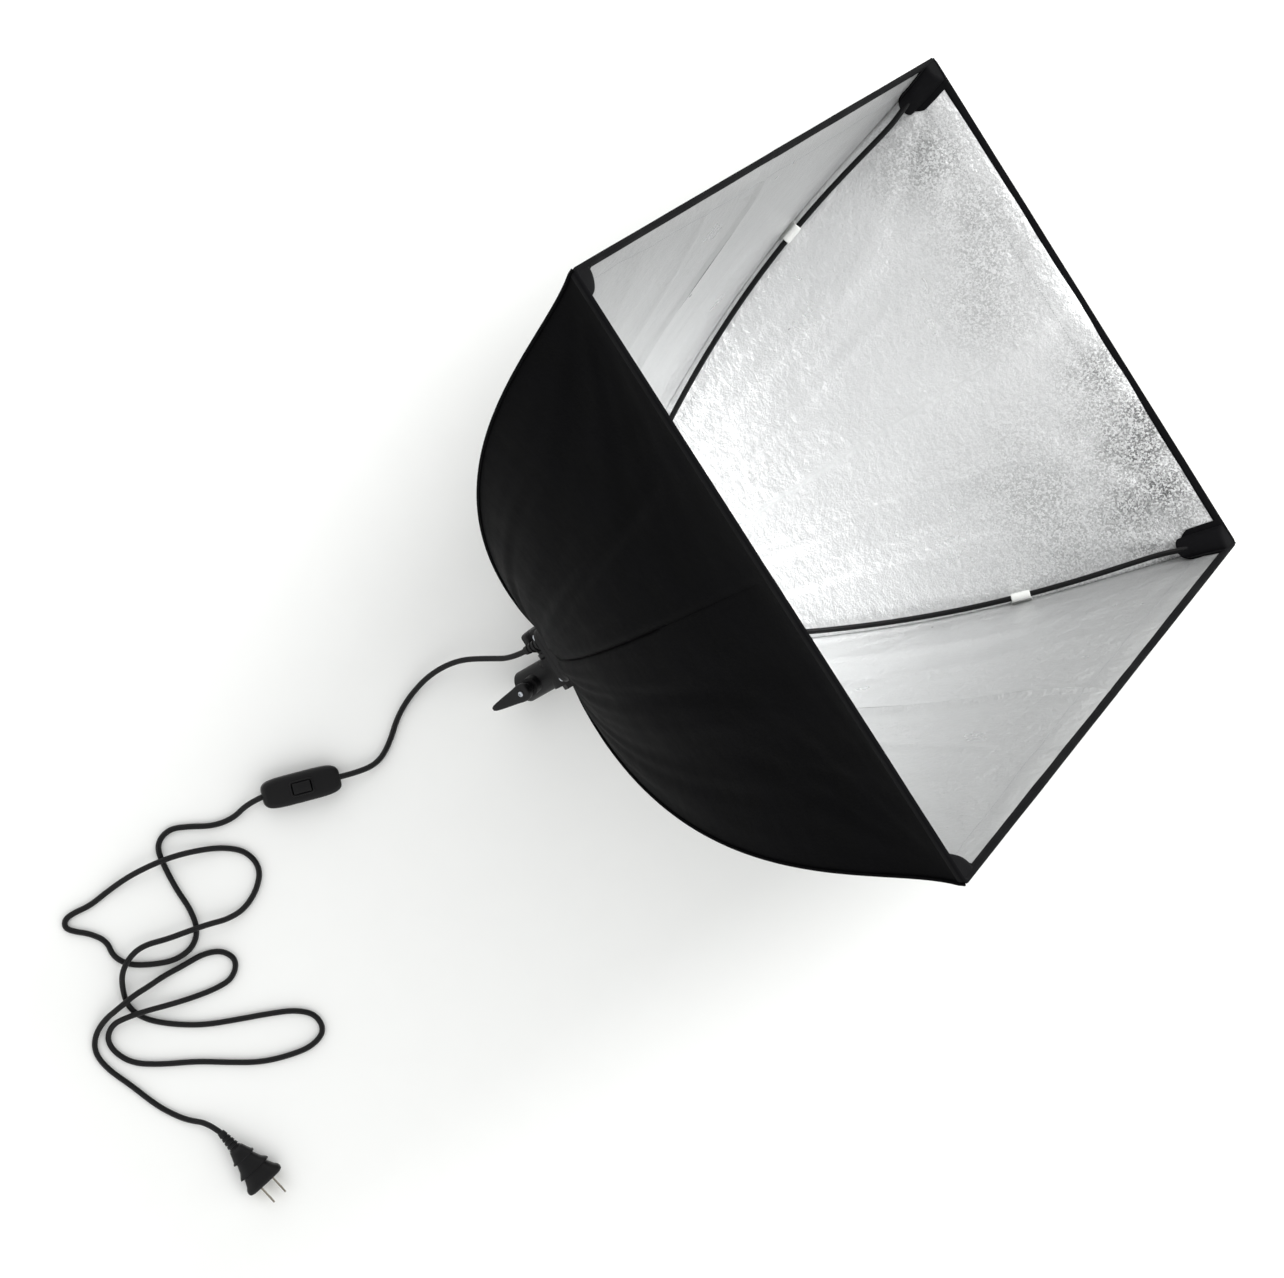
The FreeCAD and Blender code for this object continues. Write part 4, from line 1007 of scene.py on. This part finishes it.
class SOFTBOX_OT_rods(bpy.types.Operator):
    """The four rods with their hinged feet, and the pins they fold on"""

    bl_idname = "softbox.rods"
    bl_label = "Rods"

    def execute(self, context):
        for number in CORNERS:
            finished("rib_%d" % number, "rod")
            rounded_copy("rib_socket_%d" % number, "abs", 0.8 * MM)
        finished("fold_pins", "zinc")
        return {"FINISHED"}


class SOFTBOX_OT_lamp_head(bpy.types.Operator):
    """Hub, lamp holder, wiring housing and its cover"""

    bl_idname = "softbox.lamp_head"
    bl_label = "Lamp head"

    def execute(self, context):
        rounded_copy("hub", "abs", 0.8 * MM)
        rounded_copy("lamp_holder", "resin", 1.2 * MM, 3)
        rounded_copy("rear_housing", "abs", 0.7 * MM)
        rounded_copy("rear_cover", "abs", 0.9 * MM, 3)
        finished("lamp_thread_shell", "aluminium")
        finished("lamp_contact", "brass")
        finished("cover_screws", "zinc")
        return {"FINISHED"}


class SOFTBOX_OT_tilt_head(bpy.types.Operator):
    """Bracket, bolt, knob, stand receiver and its clamp"""

    bl_idname = "softbox.tilt_head"
    bl_label = "Tilt head"

    def execute(self, context):
        rounded_copy("tilt_bracket", "black_zinc", 0.5 * MM)
        make_low_screws()
        finished("tilt_bolt", "black_zinc")
        rounded_copy("stand_receiver", "abs", 0.9 * MM, 3)
        finished("clamp_screw", "black_zinc")
        make_knob()
        make_lever()
        return {"FINISHED"}


def make_low_screws():
    """The bracket's two screws with heads pressed low, so that the receiver swings past them."""
    source = frame["nodes"]["bracket_screws"].data
    lowest = min(v.co.dot(AXIS) for v in source.vertices) + 0.4 * MM
    points = [v.co + AXIS * max(lowest - v.co.dot(AXIS), 0) for v in source.vertices]
    screws = make_object("bracket_screws_low", points, [tuple(p.vertices) for p in source.polygons],
                         ["zinc"], smooth=False)
    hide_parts("bracket_screws")
    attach(screws, "head")


def make_knob():
    """Hand knob with eight finger flutes and a domed end."""
    low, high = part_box("tilt_knob")
    start = Vector((low.x, (low.y + high.y) / 2, (low.z + high.z) / 2))
    length = high.x - low.x
    radius = (high.y - low.y) / 2
    levels = [(0, 0.60, 0), (0.01, 0.64, 0), (0.10, 0.66, 0), (0.16, 0.80, 0.3),
              (0.22, 0.93, 0.8), (0.30, 0.98, 1), (0.60, 1.0, 1), (0.86, 1.0, 1),
              (0.93, 0.96, 0.9), (0.975, 0.87, 0.7), (0.998, 0.70, 0.3), (1.0, 0.30, 0)]
    flutes = 8
    count = 96
    rings = []
    for share, wide, fluted in levels:
        ring = []
        for i in range(count):
            angle = 2 * math.pi * i / count
            dip = max(0.0, math.cos(flutes * angle)) ** 1.5 * 0.17 * fluted
            reach = radius * wide * (1 - dip)
            ring.append(start + ACROSS * length * share + UP * reach * math.cos(angle)
                        + AXIS * reach * math.sin(angle))
        rings.append(ring)
    knob = skin("hand_knob", rings, "abs", angle=40)
    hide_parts("tilt_knob")
    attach(knob, "knob")


def make_lever():
    """Pointed clamp lever with a round boss and the screw that holds it."""
    low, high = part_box("stand_receiver")
    middle_x = (low.x + high.x) / 2
    lever = frame["nodes"]["clamp_lever"].data
    heights = [v.co.dot(UP) for v in lever.vertices]
    depths = [v.co.dot(AXIS) for v in lever.vertices]
    boss_radius = 8 * MM
    base_height = (min(heights) + max(heights)) / 2
    pivot_depth = max(depths) - boss_radius
    half_thick = (max(heights) - min(heights)) / 2
    length = pivot_depth - min(depths)
    centre = ACROSS * middle_x + UP * base_height + AXIS * pivot_depth
    sections = [(-8.0, 1.5, 0.6), (-7.6, 3.6, 0.82), (-6.4, 5.6, 0.95), (-4, 7.4, 1.0),
                (0, 8.0, 1.0), (4, 7.6, 1.0), (8, 6.8, 0.96), (14, 5.9, 0.9), (21, 4.9, 0.8),
                (28, 3.8, 0.68), (33, 2.8, 0.56), (35.4, 1.7, 0.4), (36, 0.6, 0.2)]
    scale = length / (36 * MM)
    rings = []
    for along, wide, thick in sections:
        shift = along * MM * (scale if along > 0 else 1)
        rings.append(oval(centre - AXIS * shift, ACROSS, UP, wide * MM, half_thick * thick,
                          3.2, 28))
    arm = skin("lever_arm", rings, "abs", angle=45)
    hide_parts("clamp_lever")
    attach(arm, "lever")
    top = centre + UP * (half_thick - 0.3 * MM)
    profile = [(d * MM, r * MM) for d, r in
               ((0, 2.3), (0.9, 2.3), (1.3, 1.8), (1.4, 1.1), (0.7, 1.0))]
    head = turned("lever_screw", top, UP, profile, "zinc")
    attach(head, "lever")


class SOFTBOX_OT_stage(bpy.types.Operator):
    """Pale paper floor and soft studio light"""

    bl_idname = "softbox.stage"
    bl_label = "Stage"

    def execute(self, context):
        colours = context.scene.softbox_colours
        size = 12
        paper = make_stage_floor(size, colours.floor)
        target = Vector((0, 0, 0.15))
        # right and up are the sides of the picture; the light comes over its upper right corner
        area_light("key", Vector((0.6, -2.7, 2.4)), target, 1.4, 85)
        make_world(context.scene)
        context.scene.view_settings.view_transform = "Standard"
        return {"FINISHED"}


def make_stage_floor(size, base):
    points = [(-size, -size, 0), (size, -size, 0), (size, size, 0), (-size, size, 0)]
    FINISH["paper"] = surface("matt_paper", base, 0.85, 3 * MM, 0.02 * MM, mottled=0.01)
    return make_object("floor", points, [(0, 1, 2, 3)], ["paper"], smooth=False)


def area_light(name, place, target, size, power):
    data = bpy.data.lights.new(name, "AREA")
    data.size = size
    data.energy = power
    light = bpy.data.objects.new(name, data)
    bpy.context.scene.collection.objects.link(light)
    light.location = place
    light.rotation_euler = (target - place).to_track_quat("-Z", "Y").to_euler()


def make_world(scene):
    """A white room with a grey ceiling, so that what faces straight up is a shade darker."""
    world = bpy.data.worlds.new("white_room")
    world.use_nodes = True
    way = add(world, "ShaderNodeTexCoord", {}).outputs["Generated"]
    parts = add(world, "ShaderNodeSeparateXYZ", {"Vector": way})
    overhead = add(world, "ShaderNodeMapRange", {"Value": parts.outputs["Z"], "From Min": 0.9,
                                                 "From Max": 0.98})
    shade = add(world, "ShaderNodeMixRGB", {"Fac": overhead.outputs["Result"],
                                            "Color1": (1, 1, 1, 1), "Color2": (0.1, 0.1, 0.11, 1)})
    back = world.node_tree.nodes["Background"]
    back.inputs["Strength"].default_value = 1.25
    world.node_tree.links.new(shade.outputs["Color"], back.inputs["Color"])
    scene.world = world


class SOFTBOX_PT_panel(bpy.types.Panel):
    """Sidebar panel with the makers of each group of pieces"""

    bl_idname = "SOFTBOX_PT_panel"
    bl_label = "Softbox"
    bl_space_type = "VIEW_3D"
    bl_region_type = "UI"
    bl_category = "Softbox"

    def draw(self, context):
        for group in (context.scene.softbox_cloth, context.scene.softbox_colours):
            for name in group.__annotations__:
                self.layout.prop(group, name)
        for maker in MAKERS:
            self.layout.operator(maker.bl_idname)


MAKERS = [SOFTBOX_OT_camera, SOFTBOX_OT_lead, SOFTBOX_OT_cloth, SOFTBOX_OT_rods,
          SOFTBOX_OT_lamp_head, SOFTBOX_OT_tilt_head, SOFTBOX_OT_stage]
CLASSES = [SoftboxCloth, SoftboxColours] + MAKERS + [SOFTBOX_PT_panel]


def register():
    for item in CLASSES:
        bpy.utils.register_class(item)
    bpy.types.Scene.softbox_cloth = bpy.props.PointerProperty(type=SoftboxCloth)
    bpy.types.Scene.softbox_colours = bpy.props.PointerProperty(type=SoftboxColours)


def unregister():
    del bpy.types.Scene.softbox_cloth
    del bpy.types.Scene.softbox_colours
    for item in reversed(CLASSES):
        bpy.utils.unregister_class(item)


def main():
    register()
    FINISH.update(make_materials())
    bpy.ops.softbox.camera()
    bpy.ops.softbox.lead()
    bpy.ops.softbox.cloth()
    bpy.ops.softbox.rods()
    bpy.ops.softbox.lamp_head()
    bpy.ops.softbox.tilt_head()
    bpy.ops.softbox.stage()


if __name__ == "__main__":
    main()
